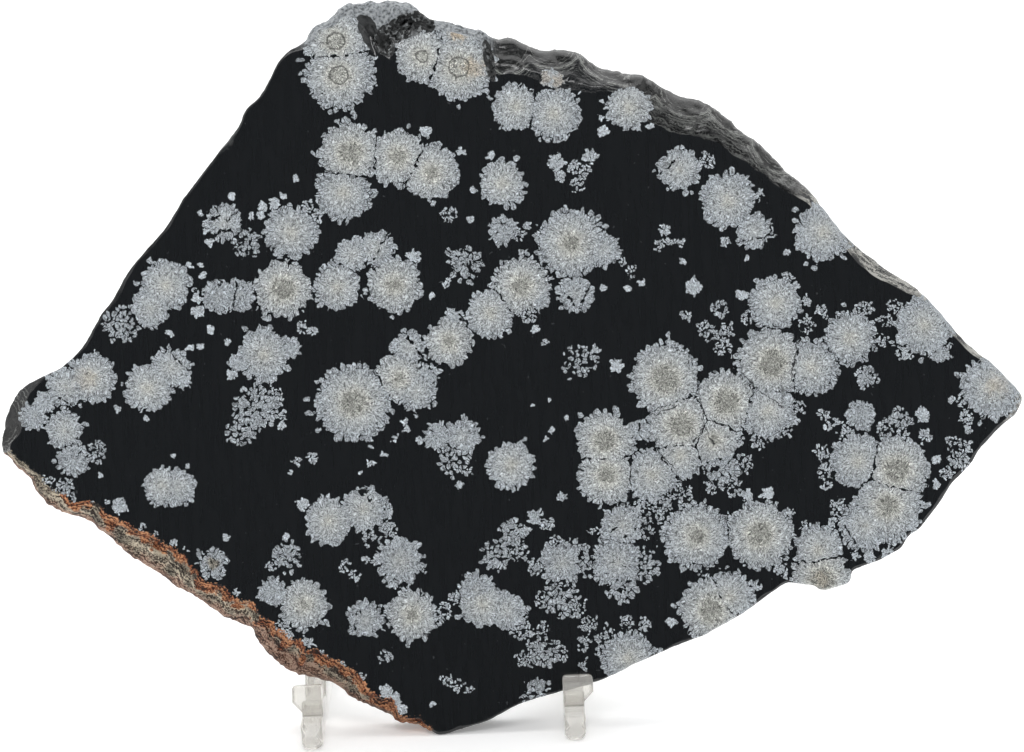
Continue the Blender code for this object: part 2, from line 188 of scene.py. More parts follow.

# The snowflakes, read from left to right in six bands: the centre's x and y and the radius, all in
# pixels, then, where it isn't 0, how open the flake is, from 0 for a solid disc to 1 for loose crumbs, and
# its darker core's radius, which is negative where a dark line rings the core. Further circles of one flake
# have an openness of 0.05.
FLAKES = (
    (336, 41, 34, 0, -8.5), (339, 75, 38, 0, -9), (422, 56, 29, 0, -6), (459, 67, 36, 0, -10),
    (459, 34, 25, 0.05), (552, 79, 13), (547, 61, 5), (516, 107, 25), (554, 114, 29), (629, 107, 25),
    (602, 102, 4), (602, 117, 4), (603, 132, 7), (651, 126, 5), (350, 153, 34, 0, 10),
    (398, 157, 31, 0, 7), (426, 131, 7), (431, 173, 30, 0, 6), (461, 152, 5), (343, 193, 31),
    (307, 206, 8, 0.25), (317, 215, 8, 0.25), (296, 179, 5), (502, 183, 25), (491, 157, 5), (516, 158, 4),
    (474, 189, 4), (557, 163, 10, 0.1), (560, 177, 8, 0.25), (574, 167, 8, 0.35), (590, 155, 9, 0.25),
    (578, 184, 10, 0.35), (585, 171, 7, 0.35), (679, 169, 24, 0.05), (706, 160, 10, 0.4), (728, 201, 30),
    (759, 195, 7, 0.25), (754, 231, 20, 0.05), (725, 242, 7, 0.25), (747, 257, 4), (786, 253, 4),
    (823, 232, 32), (224, 222, 20, 0.05), (200, 214, 4), (231, 197, 5), (206, 231, 4), (209, 243, 5),
    (247, 243, 16, 0.3), (251, 217, 5), (260, 216, 5), (263, 207, 6), (274, 203, 7), (283, 197, 5),
    (291, 232, 29), (283, 289, 31, 0, 10), (166, 285, 28), (151, 308, 22, 0.05), (189, 266, 5),
    (201, 265, 4), (203, 275, 5), (121, 324, 20, 0.3), (218, 297, 19, 0.1), (239, 296, 19, 0.1),
    (197, 298, 7, 0.1), (198, 312, 8, 0.1), (337, 287, 26), (352, 255, 19), (376, 249, 21, 0.05),
    (394, 285, 30, 0, 6), (413, 257, 8), (432, 296, 4), (466, 264, 20, 0.25), (446, 281, 7, 0.25),
    (449, 213, 10, 0.45), (470, 220, 5), (503, 231, 17, 0.12), (518, 235, 8, 0.35), (527, 226, 6, 0.25),
    (571, 243, 37, 0, 8), (603, 250, 19, 0.05), (521, 286, 31, 0, 8), (538, 299, 13, 0.1), (490, 313, 26),
    (528, 314, 11, 0.35), (535, 329, 5), (545, 342, 6, 0.25), (575, 294, 20, 0.08), (604, 288, 4),
    (623, 262, 6, 0.35), (632, 272, 8, 0.35), (642, 283, 5), (627, 289, 4), (666, 229, 8, 0.25),
    (659, 246, 8, 0.35), (669, 241, 7, 0.35), (680, 243, 7, 0.35), (682, 261, 4), (693, 287, 10, 0.1),
    (686, 317, 7, 0.4), (720, 309, 10, 0.45), (704, 328, 9, 0.4), (714, 336, 12, 0.45),
    (728, 330, 10, 0.45), (722, 347, 10, 0.35), (741, 295, 7, 0.05), (776, 303, 29), (806, 301, 7, 0.25),
    (787, 277, 8, 0.25), (747, 318, 9, 0.35), (806, 325, 10, 0.35), (822, 312, 8, 0.35), (850, 338, 29),
    (865, 309, 10, 0.35), (884, 320, 9, 0.4), (885, 341, 9, 0.35), (924, 325, 32), (894, 306, 9, 0.35),
    (904, 352, 10, 0.25), (940, 353, 12, 0.15), (264, 354, 29), (238, 363, 11, 0.1), (290, 348, 12, 0.1),
    (232, 375, 7, 0.1), (303, 327, 8, 0.35), (313, 331, 7, 0.25), (228, 342, 5), (210, 330, 5),
    (190, 348, 4), (200, 346, 5), (170, 333, 5), (148, 388, 26), (171, 368, 22, 0.05),
    (183, 380, 10, 0.05), (92, 378, 27), (66, 387, 22, 0.05), (45, 402, 13, 0.05), (34, 416, 16, 0.05),
    (64, 430, 20), (74, 459, 19, 0.15), (97, 453, 12, 0.35), (100, 475, 5), (118, 409, 4), (146, 418, 4),
    (257, 408, 26, 0.25), (241, 433, 16, 0.3), (275, 396, 10, 0.35), (281, 416, 7, 0.35),
    (282, 426, 6, 0.25), (354, 402, 42, 0, 11), (399, 378, 27, 0, 5), (416, 391, 22, 0.05),
    (429, 374, 12, 0.1), (408, 348, 20, 0.05), (449, 342, 26, 0, 5), (455, 316, 11, 0.15),
    (438, 436, 16, 0.1), (462, 437, 20, 0.08), (452, 457, 19, 0.35), (420, 440, 5), (394, 437, 6, 0.25),
    (406, 430, 5, 0.25), (404, 422, 4), (467, 471, 7, 0.35), (460, 485, 5), (511, 465, 26),
    (580, 361, 19, 0.42), (596, 349, 6, 0.25), (616, 365, 8), (665, 379, 38, 0, 12), (726, 402, 34, 0, 11),
    (681, 425, 36, 0, 11), (680, 455, 26), (714, 440, 28, 0, 4), (641, 431, 13, 0.1), (605, 441, 32, 0, 9),
    (607, 475, 32, 0, 8), (652, 475, 29), (768, 411, 31), (759, 440, 10, 0.35), (785, 430, 11, 0.35),
    (797, 408, 10, 0.35), (772, 363, 38, 0, 12), (811, 367, 31), (866, 377, 13, 0.25),
    (860, 416, 16, 0.08), (885, 428, 10, 0.4), (900, 419, 12, 0.3), (903, 434, 8, 0.35),
    (922, 415, 9, 0.05), (925, 435, 8, 0.25), (824, 415, 8, 0.3), (836, 421, 7, 0.3), (828, 427, 6, 0.25),
    (992, 387, 34), (952, 399, 5, 0.25), (965, 402, 9, 0.5), (966, 418, 9, 0.3), (968, 429, 6, 0.25),
    (533, 406, 3), (551, 400, 3), (551, 431, 5), (547, 439, 4), (566, 418, 4), (296, 462, 7, 0.3),
    (313, 457, 7, 0.25), (291, 472, 4), (370, 463, 6, 0.25), (362, 472, 4), (384, 455, 5, 0.25),
    (162, 486, 21), (178, 487, 21, 0.05), (172, 455, 4), (119, 506, 9, 0.1), (66, 489, 12, 0.3),
    (48, 481, 8, 0.35), (57, 494, 6, 0.25), (41, 486, 4, 0.25), (74, 499, 5, 0.25), (92, 501, 4, 0.25),
    (106, 503, 4, 0.25), (143, 528, 5, 0.35), (155, 534, 5, 0.35), (172, 543, 6, 0.3), (184, 551, 5, 0.35),
    (236, 592, 4, 0.25), (252, 606, 4, 0.25), (288, 638, 7, 0.25), (322, 655, 6, 0.25),
    (330, 664, 4, 0.25), (364, 676, 5, 0.25), (213, 564, 17, 0.2, 5), (227, 538, 4), (329, 521, 26),
    (303, 504, 8, 0.1), (363, 509, 25, 0.03), (386, 511, 10, 0.3), (372, 540, 10, 0.4),
    (389, 530, 10, 0.35), (400, 561, 26, 0.08), (380, 560, 10, 0.15), (424, 568, 6, 0.35),
    (393, 583, 8, 0.25), (345, 566, 8, 0.4), (356, 576, 8, 0.25), (366, 560, 6, 0.25), (286, 536, 5),
    (288, 556, 16, 0.2), (272, 566, 8, 0.35), (304, 604, 27, 0, 4), (274, 592, 16, 0.05),
    (283, 628, 10, 0.35), (309, 642, 8, 0.25), (342, 664, 6, 0.25), (386, 692, 8, 0.08),
    (394, 700, 9, 0.05), (402, 709, 7, 0.1), (412, 615, 28, 0, 5), (366, 620, 21, 0.08),
    (437, 617, 10, 0.3), (445, 606, 7, 0.35), (386, 656, 9, 0.25), (447, 680, 7, 0.4), (459, 685, 8, 0.4),
    (469, 690, 5, 0.25), (432, 703, 4), (477, 590, 20, 0.1), (482, 605, 25), (506, 611, 21, 0.05),
    (516, 620, 11, 0.15), (456, 598, 9, 0.35), (446, 613, 8, 0.4), (512, 535, 16, 0.25),
    (497, 556, 17, 0.28), (519, 552, 11, 0.35), (535, 518, 10, 0.15), (547, 523, 9, 0.3),
    (525, 531, 8, 0.25), (562, 563, 26, 0.1), (536, 566, 11, 0.3), (583, 558, 16, 0.3),
    (561, 583, 12, 0.35), (557, 545, 11, 0.35), (622, 525, 25, 0.08), (644, 531, 11, 0.35),
    (617, 562, 29, 0.08), (645, 565, 17, 0.3), (622, 586, 19, 0.25), (594, 531, 7, 0.4),
    (562, 497, 7, 0.25), (560, 600, 20, 0.28), (576, 607, 12, 0.35), (543, 600, 10, 0.35),
    (520, 630, 11, 0.35), (536, 642, 13, 0.33), (546, 652, 17, 0.3), (524, 660, 11, 0.4),
    (561, 654, 10, 0.4), (543, 629, 8, 0.4), (590, 625, 11, 0.4), (605, 637, 12, 0.4),
    (584, 643, 10, 0.45), (627, 624, 9, 0.4), (645, 625, 8, 0.25), (629, 659, 29), (603, 651, 10, 0.3),
    (585, 664, 8, 0.45), (537, 690, 13, 0.25), (525, 698, 7, 0.3), (671, 622, 7), (711, 610, 35, 0, 10),
    (729, 597, 28), (757, 586, 7, 0.25), (697, 536, 37, 0, 7), (760, 535, 37, 0, 11), (650, 492, 11, 0.3),
    (666, 500, 12, 0.3), (684, 493, 11, 0.35), (655, 513, 11, 0.35), (640, 505, 9, 0.3),
    (712, 486, 10, 0.3), (722, 470, 22, 0.2), (744, 463, 11, 0.35), (733, 487, 11, 0.35),
    (747, 494, 7, 0.1), (768, 493, 8, 0.05), (789, 513, 7, 0.3), (818, 550, 27), (806, 526, 8, 0.35),
    (822, 579, 33, 0, 11), (781, 571, 9, 0.25), (855, 555, 6, 0.25), (870, 558, 8, 0.15),
    (888, 553, 8, 0.15), (858, 461, 30), (846, 434, 10, 0.3), (822, 452, 10, 0.35), (825, 470, 10, 0.35),
    (825, 485, 7, 0.3), (897, 470, 36, 0, 11), (888, 506, 38, 0, 9), (866, 525, 29, 0.05),
    (838, 508, 11, 0.35), (832, 522, 7, 0.25), (936, 460, 6), (936, 485, 6, 0.1), (953, 443, 9, 0.35),
    (967, 446, 9, 0.3), (958, 458, 11, 0.35), (947, 472, 8, 0.35), (964, 463, 8, 0.35),
)

# Where the blows fell along the broken edges, read as pixels: ripples run round each
STRIKES = ((505, 36), (538, 46), (566, 48), (596, 62), (626, 72), (660, 84), (700, 98), (745, 134))
STRIKES += ((780, 166), (14, 392), (4, 430))

# Rusty stains on the flakes, read as x, y and radius in pixels, and how strong each is
STAINS = (
    (458, 34, 10, 1.3), (473, 68, 13, 0.8), (488, 62, 9, 1.0), (545, 78, 10, 0.9), (560, 80, 10, 1.0),
    (85, 379, 15, 0.4), (998, 385, 17, 0.4), (821, 579, 11, 0.5), (213, 564, 8, 0.6),
)

# Broken places, read as x, y, half length and half width in pixels, the turn of the length from level
# in degrees, the depth in millimetres, and 1 for a rough break or 0 for smooth glass
SCARS = (
    (404, 27, 28, 13, -22, 2.0, 1),
    (385, 42, 11, 13, 0, 1.2, 1),
    (370, 33, 21, 9, 68, 1.2, 0),
    (429, 25, 9, 6, 60, 0.8, 1),
    (489, 60, 5, 22, -12, 0.6, 1),
    (229, 137, 20, 5, -56, 0.5, 0),
)

# Scallops that blows left in the broken glass, read as x, y, half length and half width in pixels, the
# turn in degrees and the depth in millimetres
SCALLOPS = (
    (727, 116, 26, 11, 41, 0.70),
    (684, 96, 30, 19, 18, 0.90),
    (608, 66, 30, 15, 26, 0.70),
    (550, 48, 30, 20, 6, 0.80),
    (512, 40, 24, 36, 10, 0.60),
    (772, 152, 26, 14, 50, 0.60),
    (646, 78, 20, 22, 24, 0.50),
    (4, 422, 20, 32, 12, 0.50),
)

# Hairline cracks across the flakes, read as runs of pixels
CRACKS = (
    ((743, 372), (755, 389), (767, 396), (784, 408)),
    ((697, 381), (705, 424), (713, 443)),
    ((693, 443), (705, 424)),
    ((650, 416), (681, 405)),
    ((657, 450), (675, 469)),
    ((798, 336), (791, 381)),
)

# The fine surface's grid: places round the slab, then the rings on the polished face, round the front of
# the rim, round its rear and on the back. NEAR_END is the share of the way to an edge where the last ring
# before it lies, which keeps the edge crisp. The rim's first ring is at FIRST_RIM_SHARE, and a power spaces
# the others.
AROUND = 900
FACE_RINGS = 46
FRONT_RIM_RINGS = 18
REAR_RIM_RINGS = 9
BACK_RINGS = 33
NEAR_END = 0.998
FIRST_RIM_SHARE = 0.03
RIM_RING_POWER = 1.1

# How often a read outline and the polished face's edge are blended, which rounds the corners between points
OUTLINE_PASSES = 3
EDGE_PASSES = 2

# Random relief on the slab, each as (wavelength in millimetres, seed, share of the height), and the factors
# between which its single waves' lengths lie
WAVE_SPREAD = (0.65, 1.6)
CHIPS = ((3.0, 1, 0.6), (1.2, 2, 0.4))
NIBBLES = ((4.0, 3, 0.6), (1.5, 4, 0.4))
LUMPS = ((5.0, 5, 1.0), (2.0, 6, 0.5), (0.9, 7, 0.28))
BROAD_PITS = ((4.5, 8, 1.0),)
FINE_PITS = ((1.3, 9, 1.0),)
BLOW_WAVER = ((7.0, 10, 0.35),)
REAR_SWAY = ((6.0, 12, 1.0), (2.2, 13, 0.5))
SCAR_GRAIN = ((2.2, 15, 0.5), (0.9, 16, 0.35))

# How far a full chip and a full nibble shift the rim's outer and inner edge, and the narrowest rim there is
CHIP_SHIFT = 0.5
NIBBLE_SHIFT = 1.6
NARROWEST_RIM = 0.25

# The rim's own relief: the width at which a pitted rim has its full pits, the ripples' length, how far a
# strike's hollow reaches, all in millimetres, and how deep that hollow is against the ripples' height
FULL_PIT_WIDTH = 6.0
RIPPLE_LENGTH = 1.7
STRIKE_REACH = 6.0
STRIKE_HOLLOW = 11 / 3

# Pits: how much of the rim is pitted, how steep the pits' sides are and how deep the fine ones
PITTED_SHARE = 0.35
PIT_STEEPNESS = 0.7
FINE_PIT_DEPTH = 0.3

# How the rim falls away: its relief grows from nothing at the polished face's edge and shrinks to the share
# left at the widest line, the drop at the outer edge is a high power of the share passed, and each ring lies
# at least a hair behind the polished face
RELIEF_RISE = 5
RELIEF_FALL = 3
RELIEF_LEFT = 0.35
DROP_POWER = 16
LEAST_FALL = 0.02

# Breaks: how fast one reaches its full depth, its floor's mean and greatest depth as shares of that, and how
# deep in the slab breaks and scallops can start
SCAR_SLOPE = 1.6
SCAR_FLOOR = 0.7
SCAR_DEEPEST = 1.5
SCAR_LIMIT = 0.9 * SLAB_THICKNESS

# What the material reads from the slab's points, with the values at the middle of its face and of its back:
# the distance outside the polished face's edge, the share of the rim passed, the length along the edge, and
# how far inside a rough break, any break and a scallop the point lies. On the back, BEHIND is added to the
# distance.
BEHIND = 100.0
NO_SCAR = -1.0
NO_SCALLOP = -9.0
STORED = {
    "outside_mm": (-60.0, 160.0),
    "rim_share": (0.0, 2.0),
    "along_mm": (0.0, 0.0),
    "rough_scar": (NO_SCAR, NO_SCAR),
    "any_scar": (NO_SCAR, NO_SCAR),
    "scallop_mm": (NO_SCALLOP, NO_SCALLOP),
}

# The snowflakes on the back, in millimetres: how many there are and how many tries each gets, how big they
# are, how open, how wide their cores are, and how much of their two radii must lie between two middles
BACK_FLAKES = 120
TRIES = 20
BACK_RADII = (3.2, 4.6, 5.6, 6.6, 7.4)
RADIUS_SPREAD = (0.85, 1.1)
BACK_OPENNESS = (0.0, 0.0, 0.1, 0.4, 0.6)
BACK_CORES = (0.0, 0.0, 1.8)
LEAST_SPACING = 0.72
FLAKE_SEED = 5

# A single grain fills its circle, so below the larger of these radii it is drawn smaller by up to this
GRAIN_RADII = (1.0, 2.4)
GRAIN_SHARES = (0.86, 1.0)

# How many of the nearest flakes each face of the slab knows, and in how many parts they are looked for,
# which spares memory
CANDIDATES = 4
SEARCH_PARTS = 40

# A flake's lobes: their size in millimetres, that of the smallest grains' lobes, how far short of the
# radius the last ones lie, the share of the distance that the pattern keeps, so that lobes are longer than
# wide, and the luck that a cell needs to be filled outside whole flakes, at least and more with openness
LOBE_SIZE = 0.88
GRAIN_LOBE_SIZE = 0.56 * LOBE_SIZE
LOBE_INSET = 0.11
LOBE_KEEP = 0.76
LUCK_NEEDED = 0.39
LUCK_WITH_OPENNESS = 0.95

# Strays: the share of cells that may hold one and how far past the radius they stand, as a share of it, and
# how much the other cells' own limits vary
STRAY_CELLS = 0.10
STRAY_REACH = 0.20
LIMIT_SPREAD = -0.09

# Fine fibres inside the lobes, in the same way
FIBRE_SIZE = 0.15
FIBRE_KEEP = 0.42

# A flake is whole below this openness. An open one counts as so much farther off, times its openness, where
# seams are laid, which gives it none.
WHOLE = 0.07
OPEN_IS_FAR = 1000.0

# How a flake's patterns are shifted: by so much of its centre across and up, and by half a cell in depth
CENTRE_SHARE = (0.618, 0.0, 0.618)
HALF_CELL = (0.0, 0.5, 0.0)

# From its core's edge out, a flake's colour changes over this many millimetres
HALO_REACH = 6.0

# How far noise scatters what is laid out on the face, in millimetres for its full range
SCATTER = 1.7

# The patterns' grain in millimetres, each as ten millimetres over how many cells fit in them. Fibres and
# grain are finer in the stone, and are drawn as coarse as they need to be to show.
WAVER_SIZE = 10 / 7.5
CLUMP_SIZE = 10 / 3.3
SEAM_DOT_SIZE = 10 / 11
GRAIN_SIZE = 10 / 38
BLOTCH_SIZE = 10 / 12
DUST_SPACING = 10 / 11
FACET_SIZE = 10 / 15
STREAK_SIZE = 10 / 28

# The stone's shared noises: the size in the same way, the detail and the roughness
NOISES = {
    "broad": (10 / 4.5, 3.0, 0.5),
    "fine": (10 / 16, 4.0, 0.5),
    "slow": (10 / 1, 2.0, 0.5),
    "grit": (10 / 26, 3.0, 0.62),
}

# Broken glass: how much shorter its streaks are drawn along the edge, how far inside its border a scallop
# turns smooth and shows its light line, which is a painted highlight, and the spacing of the painted
# highlight arcs within, in millimetres
STREAK_SQUEEZE = 0.07
SCALLOP_LINE_INSET = 0.35
ARC_SPACING = 0.55
CRACK_HALF_WIDTH = 0.10

# The rind, in millimetres across: the middle of the place where its reddish edge comes farther in, and from
# where to where its brown border widens beside the left corner
LEDGE_ACROSS = -46.0
BROWN_START = (-91.5, -88.0)

# How deep the bump's lumps and ledges are, in millimetres
BUMP_DEPTH = 0.6

# Obsidian's and acrylic's index, and the moulded acrylic's clearness and surface haze
OBSIDIAN_IOR = 1.49
ACRYLIC_IOR = 1.49
ACRYLIC_CLEARNESS = 0.74
ACRYLIC_HAZE = 0.06

# Colours, as sRGB hex, and for each set of three tones its dark, middle and light one
POLISHED_BLACK = "#1C1E20"
SHEEN_BLACK = "#1E2022"
DUST_GREY = "#3C3E40"
FLAKE_RIM = "#9AA0A5"
FLAKE_HALO = "#A6AAAB"
FLAKE_RING = "#B0B1AC"
FLAKE_CORE = "#898A85"
CRACK_DARK = "#26282A"
SCALLOP_BLACK = "#0E0F0F"
# The scallops' light lines are a painted highlight
SCALLOP_PAINTED_HIGHLIGHT = "#838582"
SMOOTH_SCAR = "#2E3031"
HACKLE_TONES = ("#0C0D0E", "#151617", "#5C5E5C")
BRUISE_TONES = ("#2E2F31", "#7C7C78", "#B4B3AD")
LUMP_TONES = ("#54585A", "#8A8F93", "#A8ACAF")
RIND_TONES = ("#291F18", "#746A5F", "#BAB09C")
RIND_EDGE_TONES = ("#20130D", "#704C3E", "#A88F7D")
RIND_BROWN_TONES = ("#1B0F0A", "#803E20", "#B98863")
TONE_POSITIONS = (0.36, 0.47, 0.62)
# The rough breaks' facets: dark glass, and light ones that are painted glints
FACET_TONES_AND_PAINTED_GLINTS = ((0.35, "#141617"), (0.68, "#2C2E2F"), (0.88, "#6A6D6E"), (1.0, "#A0A4A6"))
ACRYLIC_TINT = "#FBF9F4"
FLOOR_WHITE = "#FFFFFF"

# What a rusty stain leaves of a flake's red, green and blue
STAIN_TINT = (1.0, 0.84, 0.68)

# The settings of a Map Range node that carries a value smoothly from one end to the other
SMOOTH = {"interpolation_type": "SMOOTHSTEP"}

# The floor's half width and glow, and how bright the room is round the camera and away from it
FLOOR_REACH = 4.0
FLOOR_GLOW = 0.22
ROOM_DARK = 0.02
ROOM_BRIGHT = 0.85

# The lights' places, aims and sizes in metres and their powers in watts
LIGHTS = {
    "overhead": ((0.0, 1.2, 1.8), (0.0, 1.2, 0.0), 2.6, 31.5),
    "left_side": ((-1.3, -0.7, 0.6), (0.0, 0.0, 0.07), 1.4, 4.1),
    "right_side": ((1.3, -0.7, 0.6), (0.0, 0.0, 0.07), 1.4, 4.1),
    "front_top": ((0.0, -0.72, 0.85), (0.0, 0.0, 0.07), 0.4, 3.3),
}


def rgb(text):
    """A linear RGBA colour from an sRGB hex code, by the standard's own curve."""
    shares = [int(text[i : i + 2], 16) / 255 for i in (1, 3, 5)]
    linear = [s / 12.92 if s <= 0.04045 else ((s + 0.055) / 1.055) ** 2.4 for s in shares]
    return (*linear, 1.0)


def stand_origin():
    """The point on the table midway between the arms, below the front edge of the lean, in millimetres."""
    left_low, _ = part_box("stand_arm_left")
    _, right_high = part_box("stand_arm_right")
    across = (left_low.x + right_high.x) / 2
    return np.array([across / MM, left_low.y / MM + FOOT_REACH, 0.0])


def photo_scale():
    """Millimetres a pixel, from the CAD slab's width."""
    low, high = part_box("obsidian_slab")
    pixels = np.array([point[:2] for _, points in OUTLINE for point in points], float)
    right, down = pixels.T
    return (high.x - low.x) / MM / np.ptp(right * math.cos(PHOTO_ROLL) - down * math.sin(PHOTO_ROLL))


ORIGIN = stand_origin()
SCALE = photo_scale()


def in_slab(pixels):
    """Pixels of the photograph as (across, up the slope) on the polished face, in millimetres."""
    right, down = (np.asarray(pixels, float) - STAND_PIXEL).T
    across = right * math.cos(PHOTO_ROLL) - down * math.sin(PHOTO_ROLL)
    up = -right * math.sin(PHOTO_ROLL) - down * math.cos(PHOTO_ROLL)
    return np.column_stack([across * SCALE, up * SCALE - FOOT_REACH * math.sin(LEAN)])


def leaned(across, up, depth):
    """Points of the slab's frame (across, up its slope, depth behind its polished face), in the world.

    The slope is turned back about the X axis by the lean, and everything is moved to the stand's place.
    """
    across, up, depth = np.broadcast_arrays(across, up, depth)
    rear = up * math.sin(LEAN) + depth * math.cos(LEAN)
    high = up * math.cos(LEAN) - depth * math.sin(LEAN)
    return np.stack([across, rear, high], axis=-1) + ORIGIN


def eased(share):
    """A share kept from 0 to 1 that leaves and arrives slowly, by the smooth step's cubic."""
    share = np.clip(share, 0, 1)
    return share**2 * (3 - 2 * share)


def lengths_along(line):
    """How far along an open run of points each one lies."""
    return np.concatenate([[0.0], np.cumsum(np.hypot(*np.diff(line, axis=0).T))])


def blended(rows, passes):
    """Rows along a closed line, each averaged with its two neighbours as often as asked."""
    for _ in range(passes):
        rows = (np.roll(rows, 1, axis=0) + 2 * rows + np.roll(rows, -1, axis=0)) / 4
    return rows


def relief(points, waves, count=24):
    """Smooth random height, about -1 to 1 times each share: for every (wavelength, seed, share) the sum of
    plane waves near that wavelength, each in a random direction with a random phase."""
    total = 0.0
    for wavelength, seed, share in waves:
        random = np.random.default_rng(seed)
        directions = random.normal(size=(count, points.shape[-1]))
        directions /= np.linalg.norm(directions, axis=1, keepdims=True)
        lengths = wavelength * random.uniform(*WAVE_SPREAD, count)
        phases = random.uniform(0, 2 * math.pi, count)
        height = np.zeros(points.shape[:-1])
        for direction, length, phase in zip(directions, lengths, phases):
            height += np.sin(points @ direction * (2 * math.pi / length) + phase)
        total = total + share * (height / math.sqrt(count))
    return total


def outline_rows():
    """The outline at equal steps: across, up, rim width, then the rim kind's seven values and the weight of
    each kind. Every column runs straight from one read point to the next, then is blended a little."""
    pixels = np.array([point for _, points in OUTLINE for point in points], float)
    kinds = [kind for kind, points in OUTLINE for _ in points]
    values = np.array([RIM_KINDS[kind] for kind in kinds])
    weights = np.array([[kind == name for name in MARKED_KINDS] for kind in kinds], float)
    rows = np.column_stack([in_slab(pixels[:, :2]), pixels[:, 2] * SCALE, values, weights])
    closed = np.vstack([rows, rows[:1]])
    along = lengths_along(closed[:, :2])
    wanted = np.arange(AROUND) * along[-1] / AROUND
    even = np.column_stack([np.interp(wanted, along, column) for column in closed.T])
    return blended(even, OUTLINE_PASSES)


def outward(line, passes=40):
    """Unit vectors that point away from a clockwise closed line, blended so that they turn slowly."""
    along = np.roll(line, -1, axis=0) - np.roll(line, 1, axis=0)
    away = blended(np.column_stack([-along[:, 1], along[:, 0]]), passes)
    return away / np.linalg.norm(away, axis=1, keepdims=True)


def inside_oval(place, right, down, long, wide, turn):
    """How far inside an oval each point lies: 1 at its middle, 0 at its border and below 0 outside."""
    offset = place - in_slab([(right, down)])[0]
    turn = math.radians(-turn) - PHOTO_ROLL
    along = offset[:, 0] * math.cos(turn) + offset[:, 1] * math.sin(turn)
    aside = offset[:, 1] * math.cos(turn) - offset[:, 0] * math.sin(turn)
    return 1 - np.hypot(along / (long * SCALE), aside / (wide * SCALE))


def scalloped(place):
    """How many millimetres inside the nearest scallop's border each point lies, and how deep the scallop is
    there, which is a bowl by the square of the distance from its middle."""
    inside = np.full(len(place), NO_SCALLOP)
    depth = np.zeros(len(place))
    for right, down, long, wide, turn, deep in SCALLOPS:
        here = inside_oval(place, right, down, long, wide, turn)
        inside = np.maximum(inside, here * min(long, wide) * SCALE)
        depth = np.maximum(depth, deep * (1 - (1 - np.clip(here, 0, 1)) ** 2))
    return inside, depth


def scarred(place):
    """How far inside a broken place each point lies, from 1 at its middle through 0 at its border to -1,
    once for the rough breaks and once for all, and how deep the break is there. Its floor is grained, and
    flat but for a slope at its border."""
    rough = np.full(len(place), NO_SCAR)
    any_kind = rough.copy()
    depth = np.zeros(len(place))
    for right, down, long, wide, turn, deep, is_rough in SCARS:
        here = inside_oval(place, right, down, long, wide, turn)
        depth = np.maximum(depth, deep * np.clip(here * SCAR_SLOPE, 0, 1))
        any_kind = np.maximum(any_kind, here)
        rough = np.maximum(rough, here if is_rough else NO_SCAR)
    return rough, any_kind, depth * np.clip(SCAR_FLOOR + relief(place, SCAR_GRAIN), 0, SCAR_DEEPEST)


def ring(place, depth, outside, rim_share, along):
    """One ring of the slab's surface, as columns: across, up and depth, then what STORED lists.

    Breaks are sunk into the slab's front and scallops into its rim alone.
    """
    rough_scar, any_scar, scar_depth = scarred(place)
    scallop, bowl = scalloped(place)
    in_front = depth < SCAR_LIMIT
    scars = [np.where(in_front, scar, NO_SCAR) for scar in (rough_scar, any_scar)]
    depth = depth + in_front * (scar_depth + bowl * (rim_share > 0))
    columns = (depth, outside, rim_share, along, *scars, scallop)
    return np.column_stack([place, *(np.broadcast_to(value, AROUND) for value in columns)])


def ripples(place):
    """Ripples round the nearest strike: sine waves folded at zero, and a hollow by the square of the
    distance."""
    blow = np.linalg.norm(place[:, None] - in_slab(STRIKES), axis=2).min(axis=1) + relief(place, BLOW_WAVER)
    waves = np.abs(np.sin(math.pi * blow / RIPPLE_LENGTH)) - 0.5
    return waves + STRIKE_HOLLOW * (np.clip(1 - (blow / STRIKE_REACH) ** 2, 0, 1) - 0.5)


def rim_relief(place, share, width, lump, ripple, pit):
    """How much farther back than its slope the rim lies at one ring: lumps, ripples, and pits, which are
    deepest halfway down a wide rim."""
    here = np.column_stack([place, np.full(AROUND, 3.0 * share)])
    pits = np.clip(relief(here, BROAD_PITS) + PITTED_SHARE, 0, 1) ** PIT_STEEPNESS
    pits = pits + FINE_PIT_DEPTH * np.clip(relief(here, FINE_PITS), 0, 1)
    wide = np.clip(width / FULL_PIT_WIDTH, 0, 1) ** 2
    hollow = pit * wide * pits * math.sqrt(math.sin(math.pi * min(share, 0.98)))
    return lump * relief(here, LUMPS) + ripple * ripples(place) + hollow


def spread_behind(grid, widest):
    """Spreads what lies behind the polished face from the picture's middle, in place.

    It looks smaller in the photograph by its depth over the camera's distance, and this takes that away.
    Behind the widest line the spread stays the same. Nothing goes below the table.
    """
    axis = in_slab([(PHOTO_SIZE[0] / 2, PHOTO_SIZE[1] / 2)])[0]
    spread = 1 + np.minimum(grid[..., 2:3], widest[:, None]) / CAMERA_DISTANCE
    grid[..., :2] = axis + (grid[..., :2] - axis) * spread
    lowest = (TABLE_GAP + grid[..., 2] * math.sin(LEAN)) / math.cos(LEAN)
    grid[..., 1] = np.maximum(grid[..., 1], lowest)


